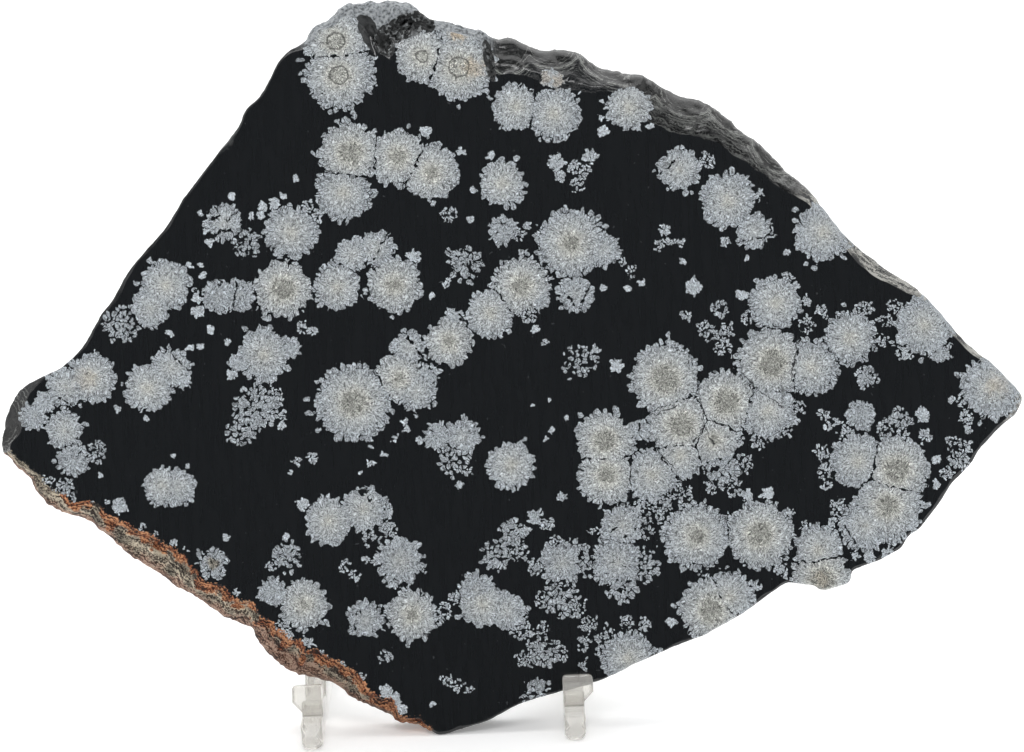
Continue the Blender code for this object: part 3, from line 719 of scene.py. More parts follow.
def slab_grid():
    """The slab's surface as rings of points in its own frame, its two middles and the rim kinds' weights.

    Ring by ring it goes from the middle of the polished face straight out to its edge, down the rim to the
    slab's widest line, back along the rim and in to the middle of the back. The rim falls away by a power of
    the share passed, the kind's bend, and its relief fades in at the edge and half out at the widest line.
    """
    rows = outline_rows()
    line, width = rows[:, :2], rows[:, 2:3]
    widest, bend, drop, lump, ripple, pit, ragged = rows[:, 3:10].T
    away = outward(line)
    line = line + away * (OUTLINE_SPREAD + ragged * relief(line, CHIPS) * CHIP_SHIFT)[:, None]
    inset = width + (ragged * relief(line, NIBBLES) * NIBBLE_SHIFT)[:, None]
    edge = blended(line - away * np.maximum(inset, NARROWEST_RIM), EDGE_PASSES)
    along = lengths_along(line)
    middle = edge.mean(axis=0)
    reach = np.linalg.norm(edge - middle, axis=1)
    rings = []
    for share in np.append(np.arange(1, FACE_RINGS) / FACE_RINGS, NEAR_END):
        rings.append(ring(middle + (edge - middle) * share, 0.0, -(1 - share) * reach, 0.0, along))
    reach = np.linalg.norm(line - edge, axis=1)
    for share in np.append(0.0, np.linspace(FIRST_RIM_SHARE, 1.0, FRONT_RIM_RINGS) ** RIM_RING_POWER):
        place = edge + (line - edge) * share
        window = min(1.0, RELIEF_RISE * share) * min(1.0, RELIEF_LEFT + RELIEF_FALL * (1 - share))
        height = rim_relief(place, share, width[:, 0], lump, ripple, pit)
        depth = widest * ((1 - drop) * share**bend + drop * share**DROP_POWER) + window * height
        rings.append(ring(place, np.maximum(depth, LEAST_FALL * share), reach * share, share, along))
    widest = depth
    for share in np.arange(1, REAR_RIM_RINGS + 1) / REAR_RIM_RINGS:
        depth = widest + (SLAB_THICKNESS - widest) * share
        sway = relief(np.column_stack([line, depth]), REAR_SWAY) * (lump + 0.1) * math.sin(math.pi * share)
        place = line - away * (BACK_INSET * share**2 + np.abs(sway))[:, None]
        rings.append(ring(place, depth, reach + share * SLAB_THICKNESS, 1 + share, along))
    edge = rings[-1][:, :2]
    rear_middle = edge.mean(axis=0)
    reach = np.linalg.norm(edge - rear_middle, axis=1)
    for share in np.append(NEAR_END, 1 - np.arange(1, BACK_RINGS) / BACK_RINGS):
        place = rear_middle + (edge - rear_middle) * share
        rings.append(ring(place, SLAB_THICKNESS, BEHIND + (1 - share) * reach, 2.0, along))
    grid = np.array(rings)
    spread_behind(grid, widest)
    return grid, middle, rear_middle, rows[:, 10:]


def quads_between(rings, around):
    """Faces between neighbouring rings of points, each ring of the same number."""
    here = np.arange(around)
    there = np.roll(here, -1)
    steps = (np.arange(rings - 1) * around)[:, None]
    quads = np.stack([steps + here, steps + there, steps + around + there, steps + around + here], axis=-1)
    return quads.reshape(-1, 4).tolist()


def closed_surface(grid, first, last):
    """A closed surface from rings of points, as points and faces: quads between the rings and, at each end,
    a fan to one point."""
    rings, around = grid.shape[:2]
    points = np.vstack([grid.reshape(-1, 3), [first], [last]])
    here = np.arange(around)
    there = np.roll(here, -1)
    start, end = len(points) - 2, len(points) - 1
    tail = (rings - 1) * around
    fans = [np.column_stack([there, here, np.full(around, start)])]
    fans.append(np.column_stack([tail + here, tail + there, np.full(around, end)]))
    return points, quads_between(rings, around) + np.vstack(fans).tolist()


def new_piece(name, points, faces, material, node):
    """A smooth piece from points in millimetres that stands for one CAD node."""
    mesh = bpy.data.meshes.new(name)
    mesh.from_pydata(points * MM, [], faces)
    mesh.update()
    mesh.shade_smooth()
    mesh.materials.append(material)
    piece = bpy.data.objects.new(name, mesh)
    bpy.context.scene.collection.objects.link(piece)
    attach(piece, "root")
    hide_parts(node)
    return piece


def back_flakes(edge):
    """Snowflakes on the hidden back: random discs inside the outline, kept where they crowd no other."""
    random = np.random.default_rng(FLAKE_SEED)
    low, high = edge.min(axis=0), edge.max(axis=0)
    kept = []
    for _ in range(TRIES * BACK_FLAKES):
        spot = random.uniform(low, high)
        radius = random.choice(BACK_RADII) * random.uniform(*RADIUS_SPREAD)
        clear = all(math.dist(spot, other[:2]) > LEAST_SPACING * (radius + other[2]) for other in kept)
        if clear and len(kept) < BACK_FLAKES:
            openness = random.choice(BACK_OPENNESS)
            kept.append((*spot, radius, openness, random.choice(BACK_CORES)))
    return np.array(kept)


def flake_table(edge):
    """Every flake as world centre and (radius, openness, core), in millimetres: those seen in the photograph
    are centred in the polished face, and those of the back in the rear face."""
    seen = np.array([flake + (0,) * (5 - len(flake)) for flake in FLAKES], float)
    behind = back_flakes(edge)
    front = leaned(*in_slab(seen[:, :2]).T, 0.0)
    rear = leaned(behind[:, 0], behind[:, 1], SLAB_THICKNESS)
    front_look = seen[:, 2:5] * (SCALE, 1.0, SCALE)
    front_look[:, 0] *= np.interp(front_look[:, 0], GRAIN_RADII, GRAIN_SHARES)
    return np.vstack([front, rear]), np.vstack([front_look, behind[:, 2:5]])


def nearest(points, centres, reach, count=1):
    """For each point, the indices of the centres whose reach ends nearest to it, or most beyond it."""
    found = []
    for part in np.array_split(points, SEARCH_PARTS):
        gap = np.linalg.norm(part[:, None] - centres, axis=2) - reach
        found.append(np.argsort(gap, axis=1)[:, :count])
    return np.vstack(found)


def face_middles(mesh):
    """The middle of each face, in millimetres."""
    middles = np.empty(len(mesh.polygons) * 3)
    mesh.polygons.foreach_get("center", middles)
    return middles.reshape(-1, 3) / MM


def store(mesh, domain, **columns):
    """Stores arrays as mesh attributes, a vector where an array has three columns."""
    for name, values in columns.items():
        values = np.ascontiguousarray(values, dtype=np.float32)
        kind, key = ("FLOAT_VECTOR", "vector") if values.ndim == 2 else ("FLOAT", "value")
        mesh.attributes.new(name, kind, domain).data.foreach_set(key, values.ravel())


def crack_table():
    """The straight pieces of all the cracks, as two arrays of world points."""
    runs = [leaned(*in_slab(run).T, 0.0) for run in CRACKS]
    return np.vstack([run[:-1] for run in runs]), np.vstack([run[1:] for run in runs])


def obsidian_slab():
    """The slab's fine surface, with what its material needs to know stored on it: on the points what STORED
    lists and the rim kinds' weights, and on each face its nearest flakes, crack and stain."""
    grid, middle, rear_middle, weights = slab_grid()
    places = leaned(grid[..., 0], grid[..., 1], grid[..., 2])
    first = leaned(*middle, 0.0)
    last = leaned(*rear_middle, SLAB_THICKNESS)
    points, faces = closed_surface(places, first, last)
    slab = new_piece("obsidian_slab_surface", points, faces, obsidian_material(), "obsidian_slab")
    mesh = slab.data
    for index, (name, ends) in enumerate(STORED.items()):
        store(mesh, "POINT", **{name: np.append(grid[..., 3 + index].ravel(), ends)})
    for index, name in enumerate(MARKED_KINDS):
        store(mesh, "POINT", **{name: np.append(np.tile(weights[:, index], len(grid)), [0.0, 0.0])})
    middles = face_middles(mesh)
    centres, looks = flake_table(grid[FACE_RINGS - 1][:, :2])
    for index, near in enumerate(nearest(middles, centres, looks[:, 0], CANDIDATES).T):
        store(mesh, "FACE", **{f"flake{index}_centre": centres[near], f"flake{index}_look": looks[near]})
    starts, ends = crack_table()
    near = nearest(middles, (starts + ends) / 2, np.linalg.norm(ends - starts, axis=1) / 2)[:, 0]
    store(mesh, "FACE", crack_start=starts[near], crack_end=ends[near])
    stains = np.array(STAINS, float)
    centres = leaned(*in_slab(stains[:, :2]).T, 0.0)
    reach, strength = stains[:, 2] * SCALE, stains[:, 3]
    near = nearest(middles, centres, reach)[:, 0]
    store(mesh, "FACE", stain_centre=centres[near], stain_reach=reach[near], stain_strength=strength[near])


def corner_arc(before, corner, after, radius, steps=8):
    """The arc that rounds one corner of a flat outline, from one straight side to the next."""
    before, corner, after = (np.array(point, float) for point in (before, corner, after))
    one = (before - corner) / np.linalg.norm(before - corner)
    two = (after - corner) / np.linalg.norm(after - corner)
    half_angle = math.acos(float(np.clip(one @ two, -1, 1))) / 2
    middle = (one + two) / np.linalg.norm(one + two)
    centre = corner + middle * radius / math.sin(half_angle)
    start = corner + one * radius / math.tan(half_angle) - centre
    end = corner + two * radius / math.tan(half_angle) - centre
    turn = math.atan2(start[0] * end[1] - start[1] * end[0], start @ end)
    angles = np.linspace(0, turn, steps + 1)
    cosine, sine = np.cos(angles), np.sin(angles)
    arc = np.column_stack([start[0] * cosine - start[1] * sine, start[0] * sine + start[1] * cosine])
    return centre + arc


def beside_slab(up, depth):
    """A place in the arm's side view, (rear, high) from the stand's own place, out of the slab's frame."""
    return tuple((leaned(0.0, up, depth) - ORIGIN)[1:])


def arm_outline():
    """The side view of an arm without its lip, at equal steps: foot, heel, elbow, back rest and seat. Each
    corner stands with the radius that rounds it, in millimetres."""
    rest = SLAB_THICKNESS + REST_GAP
    inside_lip = -LIP_GAP - LIP_THICKNESS / 2
    corners = (
        ((-FOOT_REACH, 0.0), NOSE_ROUNDING + 0.2),
        ((STAND_REAR, 0.0), 1.5),
        ((STAND_REAR, HEEL_HEIGHT), 3.0),
        (beside_slab(ELBOW_HEIGHT, rest + REST_FOOT_WIDTH), ELBOW_RADIUS),
        (beside_slab(REST_LENGTH, rest + REST_TOP_WIDTH), 2.5),
        (beside_slab(REST_LENGTH, rest), 2.0),
        (beside_slab(SEAT_HEIGHT, rest), 0.8),
        (beside_slab(SEAT_HEIGHT, inside_lip), 0.7),
        ((beside_slab(FOOT_HEIGHT, inside_lip)[0], FOOT_HEIGHT), 0.6),
        ((-FOOT_REACH, FOOT_HEIGHT), 0.7),
    )
    places = [place for place, _ in corners]
    arcs = []
    for index, (place, radius) in enumerate(corners):
        arcs.append(corner_arc(places[index - 1], place, places[(index + 1) % len(places)], radius))
    points = np.vstack(arcs)
    closed = np.vstack([points, points[:1]])
    along = lengths_along(closed)
    wanted = np.linspace(0.0, along[-1], int(along[-1] / OUTLINE_STEP), endpoint=False)
    return np.column_stack([np.interp(wanted, along, column) for column in closed.T])


def arm_plate():
    """An arm's plate, as points about the arm's own middle plane and faces.

    The side view is carried across the plate's thickness, with its edges rounded as quarter circles, which
    are wider at the nose, so that it ends like a finger.
    """
    outline = arm_outline()
    along = np.roll(outline, -1, axis=0) - np.roll(outline, 1, axis=0)
    inward = np.column_stack([-along[:, 1], along[:, 0]]) / np.linalg.norm(along, axis=1, keepdims=True)
    rear, high = outline.T
    at_nose = np.clip((NOSE_REAR - rear) / NOSE_FADE_LENGTH, 0, 1)
    at_nose = at_nose * np.clip((NOSE_TOP - high) / NOSE_FADE_HEIGHT, 0, 1)
    rounding = EDGE_ROUNDING + (NOSE_ROUNDING - EDGE_ROUNDING) * eased(at_nose)
    angles = np.linspace(math.pi / 2, 0.0, ROUNDING_STEPS)
    turns = [(-1, angle) for angle in angles] + [(1, angle) for angle in angles[::-1]]
    rings = []
    for side, angle in turns:
        place = outline + inward * (rounding * (1 - math.cos(angle)))[:, None]
        across = side * (ARM_THICKNESS / 2 - rounding * (1 - math.sin(angle)))
        rings.append(np.column_stack([across, place]))
    first = np.arange(len(outline))
    last = first + (len(rings) - 1) * len(outline)
    faces = quads_between(len(rings), len(outline)) + [first[::-1].tolist(), last.tolist()]
    return np.vstack(rings), faces


def boxed(wave):
    """A sine or cosine pushed out towards 1 and -1 by a small power, as the superellipse formula does."""
    return np.sign(wave) * np.abs(wave) ** LIP_SQUARENESS


def arm_lip(side):
    """An arm's lip, as points about the arm's own middle plane and faces: a box rounded by the superellipse
    formula. Just above the foot its outer side swells out by a smooth step."""
    rise = np.radians(np.linspace(-LIP_LAST_RISE, LIP_LAST_RISE, LIP_RINGS))[:, None]
    around = np.radians(np.arange(0, 360, LIP_TURN))[None, :]
    up = (LIP_HEIGHT + LIP_FOOT) / 2 + (LIP_HEIGHT - LIP_FOOT) / 2 * boxed(np.sin(rise)) + 0 * around
    front = boxed(np.sin(around)) * boxed(np.cos(rise))
    below_brow = 1 - np.clip((up - LIP_BROW) / LIP_BROW_HEIGHT, 0, 1)
    depth = -LIP_GAP - LIP_THICKNESS / 2 * (1 - front) + LIP_BROW_STEP * below_brow * (front < 0) * -front
    swell = eased((up - LIP_SHOULDER) / LIP_SWELL_HEIGHT)
    narrow = ARM_THICKNESS / 2 - LIP_SINK
    outer = narrow + (LIP_FLARE + LIP_SINK) * swell
    inner = narrow + LIP_INNER_FLARE * swell
    wave = boxed(np.cos(around)) * boxed(np.cos(rise))
    across = side * wave * np.where(wave > 0, outer, inner)
    grid = leaned(across, up, depth) - ORIGIN
    middle = -LIP_GAP - LIP_THICKNESS / 2
    first = leaned(0.0, LIP_FOOT, middle) - ORIGIN
    last = leaned(0.0, LIP_HEIGHT, middle) - ORIGIN
    return closed_surface(grid if side > 0 else grid[:, ::-1], first, last)


def stand_arm(name, side, material):
    """One arm of the stand: its plate and, grown into it, its lip."""
    plate, faces = arm_plate()
    lip, lip_faces = arm_lip(side)
    low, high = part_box(name)
    if side < 0:
        middle = high.x / MM - ARM_THICKNESS / 2 + LEFT_ARM_SHIFT
    else:
        middle = low.x / MM + ARM_THICKNESS / 2
    points = np.vstack([plate, lip]) + np.array([middle, ORIGIN[1], 0.0])
    faces += [[index + len(plate) for index in face] for face in lip_faces]
    return new_piece(name + "_surface", points, faces, material, name)


def first_output(node):
    """The first output that is in use."""
    return next(socket for socket in node.outputs if socket.enabled)


def add(tree, kind, *inputs, stops=(), **settings):
    """Adds a node, sets it up, feeds its inputs and returns it.

    The kind is the node's own name, with its operation after a blank where it has one. The inputs come in
    order, each a value, a node or a socket, or None to leave one alone; a dictionary feeds them by name or
    number instead. Stops are a colour ramp's positions and sRGB hex colours.
    """
    kind, _, operation = kind.partition(" ")
    made = tree.nodes.new("ShaderNode" + kind)
    if operation:
        made.operation = operation
    for name, value in settings.items():
        setattr(made, name, value)
    if stops:
        elements = made.color_ramp.elements
        for index in (0, -1):
            elements[index].position, elements[index].color = stops[index][0], rgb(stops[index][1])
        for position, colour in stops[1:-1]:
            elements.new(position).color = rgb(colour)
    feeds = inputs[0] if inputs and isinstance(inputs[0], dict) else dict(enumerate(inputs))
    for place, value in feeds.items():
        if isinstance(value, bpy.types.Node):
            value = first_output(value)
        if isinstance(value, bpy.types.NodeSocket):
            tree.links.new(value, made.inputs[place])
        elif value is not None:
            made.inputs[place].default_value = value
    return made


def new_material(name):
    """A node material with a Principled shader, and its tree and shader."""
    material = bpy.data.materials.new(name)
    material.use_nodes = True
    return material, material.node_tree, material.node_tree.nodes["Principled BSDF"]


def nearest_flake(tree, place):
    """Picks, of a face's candidate flakes, the one that the point lies deepest inside, or nearest to.

    Gives the vector from that flake's centre, its look (radius, openness, core) and, among the whole flakes,
    how much farther off the second nearest edge is than the nearest one.
    """
    candidates = []
    for index in range(CANDIDATES):
        centre = add(tree, "Attribute", attribute_name=f"flake{index}_centre").outputs["Vector"]
        look = add(tree, "Attribute", attribute_name=f"flake{index}_look").outputs["Vector"]
        vector = add(tree, "VectorMath SUBTRACT", place, centre)
        distance = add(tree, "VectorMath LENGTH", vector).outputs["Value"]
        radius, openness, _ = add(tree, "SeparateXYZ", look).outputs
        gap = add(tree, "Math SUBTRACT", distance, radius)
        whole_gap = add(tree, "Math MULTIPLY_ADD", openness, OPEN_IS_FAR, gap)
        candidates.append((vector, look, gap, whole_gap))
    vector, look, gap, first = candidates[0]
    farther = []
    for this_vector, this_look, this_gap, whole_gap in candidates[1:]:
        closer = add(tree, "Math LESS_THAN", this_gap, gap)
        vector = add(tree, "Mix", {0: closer, 4: vector, 5: this_vector}, data_type="VECTOR")
        look = add(tree, "Mix", {0: closer, 4: look, 5: this_look}, data_type="VECTOR")
        gap = add(tree, "Math MINIMUM", this_gap, gap)
        farther.append(add(tree, "Math MAXIMUM", whole_gap, first))
        first = add(tree, "Math MINIMUM", whole_gap, first)
    second = farther[0]
    for whole_gap in farther[1:]:
        second = add(tree, "Math MINIMUM", whole_gap, second)
    return vector, look, add(tree, "Math SUBTRACT", second, first)


def scattered_place(tree, place):
    """The place moved by up to about half a millimetre by slow noise, so that nothing laid out by it is a
    true circle or a straight line."""
    noise = add(tree, "TexNoise", {"Vector": place, "Scale": 1 / WAVER_SIZE, "Detail": 2.0})
    shift = add(tree, "VectorMath SUBTRACT", noise.outputs["Color"], (0.5, 0.5, 0.5))
    flat = {0: shift, 2: (-LEAN, 0.0, 0.0), 3: (SCATTER, 0.0, SCATTER)}
    shift = add(tree, "Mapping", flat, vector_type="POINT")
    return add(tree, "VectorMath ADD", shift, place)


def flake_here(tree, place):
    """What the snowflakes' cover and colour both read about the flake at each point, as one bundle: its
    radius, openness and core, its centre, the point's distance and share of the radius, the unit ray out to
    the point, and a shift for its patterns. The shift differs from flake to flake, but keeps the polished
    face in the middle of a layer of cells."""
    vector, look, parting = nearest_flake(tree, place)
    radius, openness, core = add(tree, "SeparateXYZ", look).outputs
    distance = add(tree, "VectorMath LENGTH", vector).outputs["Value"]
    turned = add(tree, "Mapping", {0: vector, 2: (LEAN, 0.0, 0.0)}, vector_type="POINT")
    true_centre = add(tree, "VectorMath SUBTRACT", place, vector)
    centre = add(tree, "Mapping", {0: true_centre, 2: (LEAN, 0.0, 0.0)}, vector_type="POINT")
    return SimpleNamespace(
        parting=parting,
        radius=radius,
        openness=openness,
        core=core,
        distance=distance,
        share=add(tree, "Math DIVIDE", distance, radius),
        ray=add(tree, "VectorMath NORMALIZE", turned),
        true_centre=true_centre,
        centre=centre,
        shift=add(tree, "VectorMath MULTIPLY_ADD", centre, CENTRE_SHARE, HALF_CELL),
    )


def radial_place(tree, flake, keep, size):
    """Coordinates for a pattern that runs out from a flake's centre: the unit ray times a length that grows
    only by the share keep of the distance and equals it at the radius, over the pattern's size, plus the
    flake's own shift."""
    inward = add(tree, "Math SUBTRACT", flake.distance, flake.radius)
    length = add(tree, "Math MULTIPLY_ADD", inward, keep, flake.radius)
    length = add(tree, "Math DIVIDE", length, size)
    scaled = add(tree, "VectorMath SCALE", {0: flake.ray, 3: length})
    return add(tree, "VectorMath ADD", scaled, flake.shift)


def lobe(tree, flake, cell, size, keep, clump):
    """Whether a cell round a flake's centre holds one of its lobes, as 0 or 1, and the cell's own chance.

    The cells past the flake's radius hold none, with a random margin, and in an open flake some of the inner
    ones don't either. A few stray crumbs stand farther out.
    """
    chance = add(tree, "SeparateColor", cell.outputs["Color"]).outputs
    seed = add(tree, "VectorMath SUBTRACT", cell.outputs["Position"], flake.shift)
    length = add(tree, "VectorMath LENGTH", seed).outputs["Value"]
    length = add(tree, "Math MULTIPLY", length, size)
    share = add(tree, "Math DIVIDE", length, flake.radius)
    share = add(tree, "Math SUBTRACT", share, 1.0)
    share = add(tree, "Math DIVIDE", share, keep)
    stray = add(tree, "MapRange", chance[2], STRAY_CELLS, 0.7 * STRAY_CELLS, 0.0, STRAY_REACH, **SMOOTH)
    margin = add(tree, "Math DIVIDE", -LOBE_INSET, flake.radius)
    limit = add(tree, "Math MULTIPLY_ADD", chance[0], LIMIT_SPREAD, margin)
    limit = add(tree, "Math ADD", limit, stray)
    kept = add(tree, "Math LESS_THAN", share, limit)
    luck = add(tree, "Math ADD", chance[1], clump)
    needed = add(tree, "Math MULTIPLY_ADD", flake.openness, LUCK_WITH_OPENNESS, LUCK_NEEDED)
    stays = add(tree, "Math GREATER_THAN", luck, needed)
    whole = add(tree, "Math LESS_THAN", flake.openness, WHOLE)
    stays = add(tree, "Math MAXIMUM", stays, whole)
    return add(tree, "Math MULTIPLY", kept, stays), chance[0]


def flake_cover(tree, place, flake):
    """The snowflakes' cover, from 0 on black glass to 1 on a flake.

    Each flake is broken into round lobes about a millimetre across, one in each kept cell of a pattern laid
    out round its centre: whatever lies within reach of the cell's own point, less a dark slit where two
    cells meet. Two flakes that meet are parted by a dark dotted seam.
    """
    keep = add(tree, "MapRange", flake.openness, 0.1, 0.4, LOBE_KEEP, 1.0, **SMOOTH)
    size = add(tree, "MapRange", flake.radius, 1.2, 4.5, GRAIN_LOBE_SIZE, LOBE_SIZE, **SMOOTH)
    settings = {"Vector": radial_place(tree, flake, keep, size), "Scale": 1.0, "Randomness": 0.9}
    near = add(tree, "TexVoronoi", settings)
    next_near = add(tree, "TexVoronoi", settings, feature="F2")
    clump = add(tree, "TexNoise", {"Vector": place, "Scale": 1 / CLUMP_SIZE, "Detail": 1.0})
    near_kept, chance = lobe(tree, flake, near, size, keep, clump)
    next_kept, _ = lobe(tree, flake, next_near, size, keep, clump)

    # Lobes stand apart in the outer quarter and in open flakes, and run together towards a whole flake's
    # centre. How loose the outer lobes are differs from flake to flake.
    own = add(tree, "TexWhiteNoise", flake.centre).outputs["Value"]
    own = add(tree, "Math MULTIPLY_ADD", own, 0.75, 0.35)
    outer = add(tree, "MapRange", flake.share, 0.62, 1.0, **SMOOTH)
    outer = add(tree, "Math MULTIPLY", outer, own)
    loose = add(tree, "Math MULTIPLY_ADD", flake.openness, 2.2, outer, use_clamp=True)
    apart = add(tree, "Math MULTIPLY", flake.openness, 1.35)
    reach = add(tree, "MapRange", flake.share, 0.66, 1.0, 1.0, 0.60, **SMOOTH)
    reach = add(tree, "Math SUBTRACT", reach, apart)
    reach = add(tree, "Math MAXIMUM", reach, 0.53)
    discs = []
    for cell, kept in ((near, near_kept), (next_near, next_kept)):
        inside = add(tree, "Math LESS_THAN", cell.outputs["Distance"], reach)
        discs.append(add(tree, "Math MULTIPLY", inside, kept))
    lobes = add(tree, "Math MAXIMUM", *discs)
    border = add(tree, "Math SUBTRACT", next_near.outputs["Distance"], near.outputs["Distance"])
    width = add(tree, "Math MULTIPLY_ADD", chance, 0.20, 0.02)
    width = add(tree, "Math MULTIPLY", width, loose)
    slit = add(tree, "Math LESS_THAN", border, width)
    slit = add(tree, "Math MULTIPLY", slit, add(tree, "Math MULTIPLY", near_kept, next_kept))
    lobes = add(tree, "Math SUBTRACT", lobes, slit, use_clamp=True)

    whole = add(tree, "Math LESS_THAN", flake.openness, WHOLE)
    solid = add(tree, "Math LESS_THAN", flake.share, 0.6)
    solid = add(tree, "Math MULTIPLY", solid, whole)
    cover = add(tree, "Math MAXIMUM", lobes, solid)
    dots = add(tree, "TexNoise", {"Vector": place, "Scale": 1 / SEAM_DOT_SIZE, "Detail": 3.0})
    seam_width = add(tree, "MapRange", dots, 0.42, 0.62, 0.0, 0.42, **SMOOTH)
    past_seam = add(tree, "Math GREATER_THAN", flake.parting, seam_width)
    return add(tree, "Math MULTIPLY", cover, past_seam)


def flake_light(tree, place, still, flake, core, in_core, ringed):
    """How light a flake is at each point: fine fibres that run out from its centre, and grain over them.

    The texture is stronger in the core, a ringed core has a dark broken line round it, nearly a true circle,
    and small grains are a little lighter.
    """
    fibres = radial_place(tree, flake, FIBRE_KEEP, FIBRE_SIZE)
    fibre = add(tree, "TexNoise", {"Vector": fibres, "Scale": 1.0, "Detail": 1.0})
    grain = add(tree, "TexNoise", {"Vector": place, "Scale": 1 / GRAIN_SIZE, "Detail": 1.0})
    light = add(tree, "Math MULTIPLY_ADD", fibre, 4.2, -2.1)
    light = add(tree, "Math MULTIPLY_ADD", grain, 2.6, light)
    light = add(tree, "Math SUBTRACT", light, 1.3)
    strength = add(tree, "Math MULTIPLY_ADD", ringed, 0.7, 0.8)
    strength = add(tree, "Math MULTIPLY_ADD", in_core, strength, 1.0)
    light = add(tree, "Math MULTIPLY_ADD", light, strength, 1.0)
    light = add(tree, "Math ADD", light, add(tree, "MapRange", flake.radius, 3.0, 1.2, 0.0, 0.36, **SMOOTH))
    light = add(tree, "Math MAXIMUM", light, 0.28)
    true_distance = add(tree, "VectorMath DISTANCE", still, flake.true_centre).outputs["Value"]
    from_ring = add(tree, "Mix", {0: 0.55, 2: true_distance, 3: flake.distance})
    from_ring = add(tree, "Math SUBTRACT", from_ring, core)
    from_ring = add(tree, "Math ABSOLUTE", from_ring)
    ring_dark = add(tree, "MapRange", from_ring, 0.24, 0.10, 0.0, 0.75, **SMOOTH)
    ring_dark = add(tree, "Math MULTIPLY", ring_dark, ringed)
    broken_up = add(tree, "MapRange", grain, 0.36, 0.52, 0.25, 1.0, **SMOOTH)
    ring_dark = add(tree, "Math MULTIPLY", ring_dark, broken_up)
    ring_dark = add(tree, "Math SUBTRACT", 1.0, ring_dark)
    return add(tree, "Math MULTIPLY", light, ring_dark)


def flake_colour(tree, place, still, flake):
    """The snowflakes' colour. It goes by the distance past the core's edge: a warm light ring, then
    blue-grey, as small and open flakes are throughout. A core is darker, and a negative one has a ring."""
    ringed = add(tree, "Math LESS_THAN", flake.core, -0.01)
    core = add(tree, "Math ABSOLUTE", flake.core)
    beyond = add(tree, "Math SUBTRACT", flake.distance, core)
    beyond = add(tree, "Math DIVIDE", beyond, HALO_REACH)
    beyond = add(tree, "Math ADD", beyond, add(tree, "MapRange", flake.radius, 5.0, 2.0, 0.0, 0.7, **SMOOTH))
    beyond = add(tree, "Math MULTIPLY_ADD", flake.openness, 2.5, beyond)
    stops = ((0.05, FLAKE_RING), (0.32, FLAKE_HALO), (0.75, FLAKE_RIM))
    rings = add(tree, "ValToRGB", beyond, stops=stops)
    core = add(tree, "Math MAXIMUM", core, 0.05)
    core_share = add(tree, "Math DIVIDE", flake.distance, core)
    in_core = add(tree, "MapRange", core_share, 1.25, 0.85, **SMOOTH)
    plain = add(tree, "Math MULTIPLY_ADD", ringed, -0.4, 1.0)
    in_core = add(tree, "Math MULTIPLY", in_core, plain)
    colour = add(tree, "Mix", {0: in_core, 6: rings, 7: rgb(FLAKE_CORE)}, data_type="RGBA")
    light = flake_light(tree, place, still, flake, core, in_core, ringed)
    return stained(tree, place, add(tree, "VectorMath SCALE", {0: colour, 3: light}))


def stained(tree, place, colour):
    """The colour with the nearest rusty stain on it, fading out past the stain's reach."""
    centre = add(tree, "Attribute", attribute_name="stain_centre").outputs["Vector"]
    reach = add(tree, "Attribute", attribute_name="stain_reach").outputs["Fac"]
    strength = add(tree, "Attribute", attribute_name="stain_strength").outputs["Fac"]
    gap = add(tree, "VectorMath DISTANCE", place, centre).outputs["Value"]
    gap = add(tree, "Math DIVIDE", gap, reach)
    blotch = add(tree, "TexNoise", {"Vector": place, "Scale": 1 / BLOTCH_SIZE, "Detail": 2.0})
    gap = add(tree, "Math MULTIPLY_ADD", blotch, 1.6, gap)
    amount = add(tree, "MapRange", gap, 1.9, 1.1, 0.0, 0.85, **SMOOTH)
    amount = add(tree, "Math MULTIPLY", amount, strength)
    rusty = add(tree, "VectorMath MULTIPLY", colour, STAIN_TINT)
    return add(tree, "Mix", {0: amount, 6: colour, 7: rusty}, data_type="RGBA", clamp_factor=False)


def cracks(tree, place):
    """A hairline crack's cover: 1 within about a tenth of a millimetre of the nearest straight piece."""
    start = add(tree, "Attribute", attribute_name="crack_start").outputs["Vector"]
    end = add(tree, "Attribute", attribute_name="crack_end").outputs["Vector"]
    along = add(tree, "VectorMath SUBTRACT", end, start)
    here = add(tree, "VectorMath SUBTRACT", place, start)
    reach = add(tree, "VectorMath DOT_PRODUCT", here, along).outputs["Value"]
    whole = add(tree, "VectorMath DOT_PRODUCT", along, along).outputs["Value"]
    part = add(tree, "Math DIVIDE", reach, whole, use_clamp=True)
    foot = add(tree, "VectorMath SCALE", {0: along, 3: part})
    gap = add(tree, "VectorMath DISTANCE", here, foot).outputs["Value"]
    return add(tree, "Math LESS_THAN", gap, CRACK_HALF_WIDTH)


def three_tones(tones):
    """A colour ramp's stops, by which a noise value goes through a dark, a middle and a light tone."""
    return tuple(zip(TONE_POSITIONS, tones))


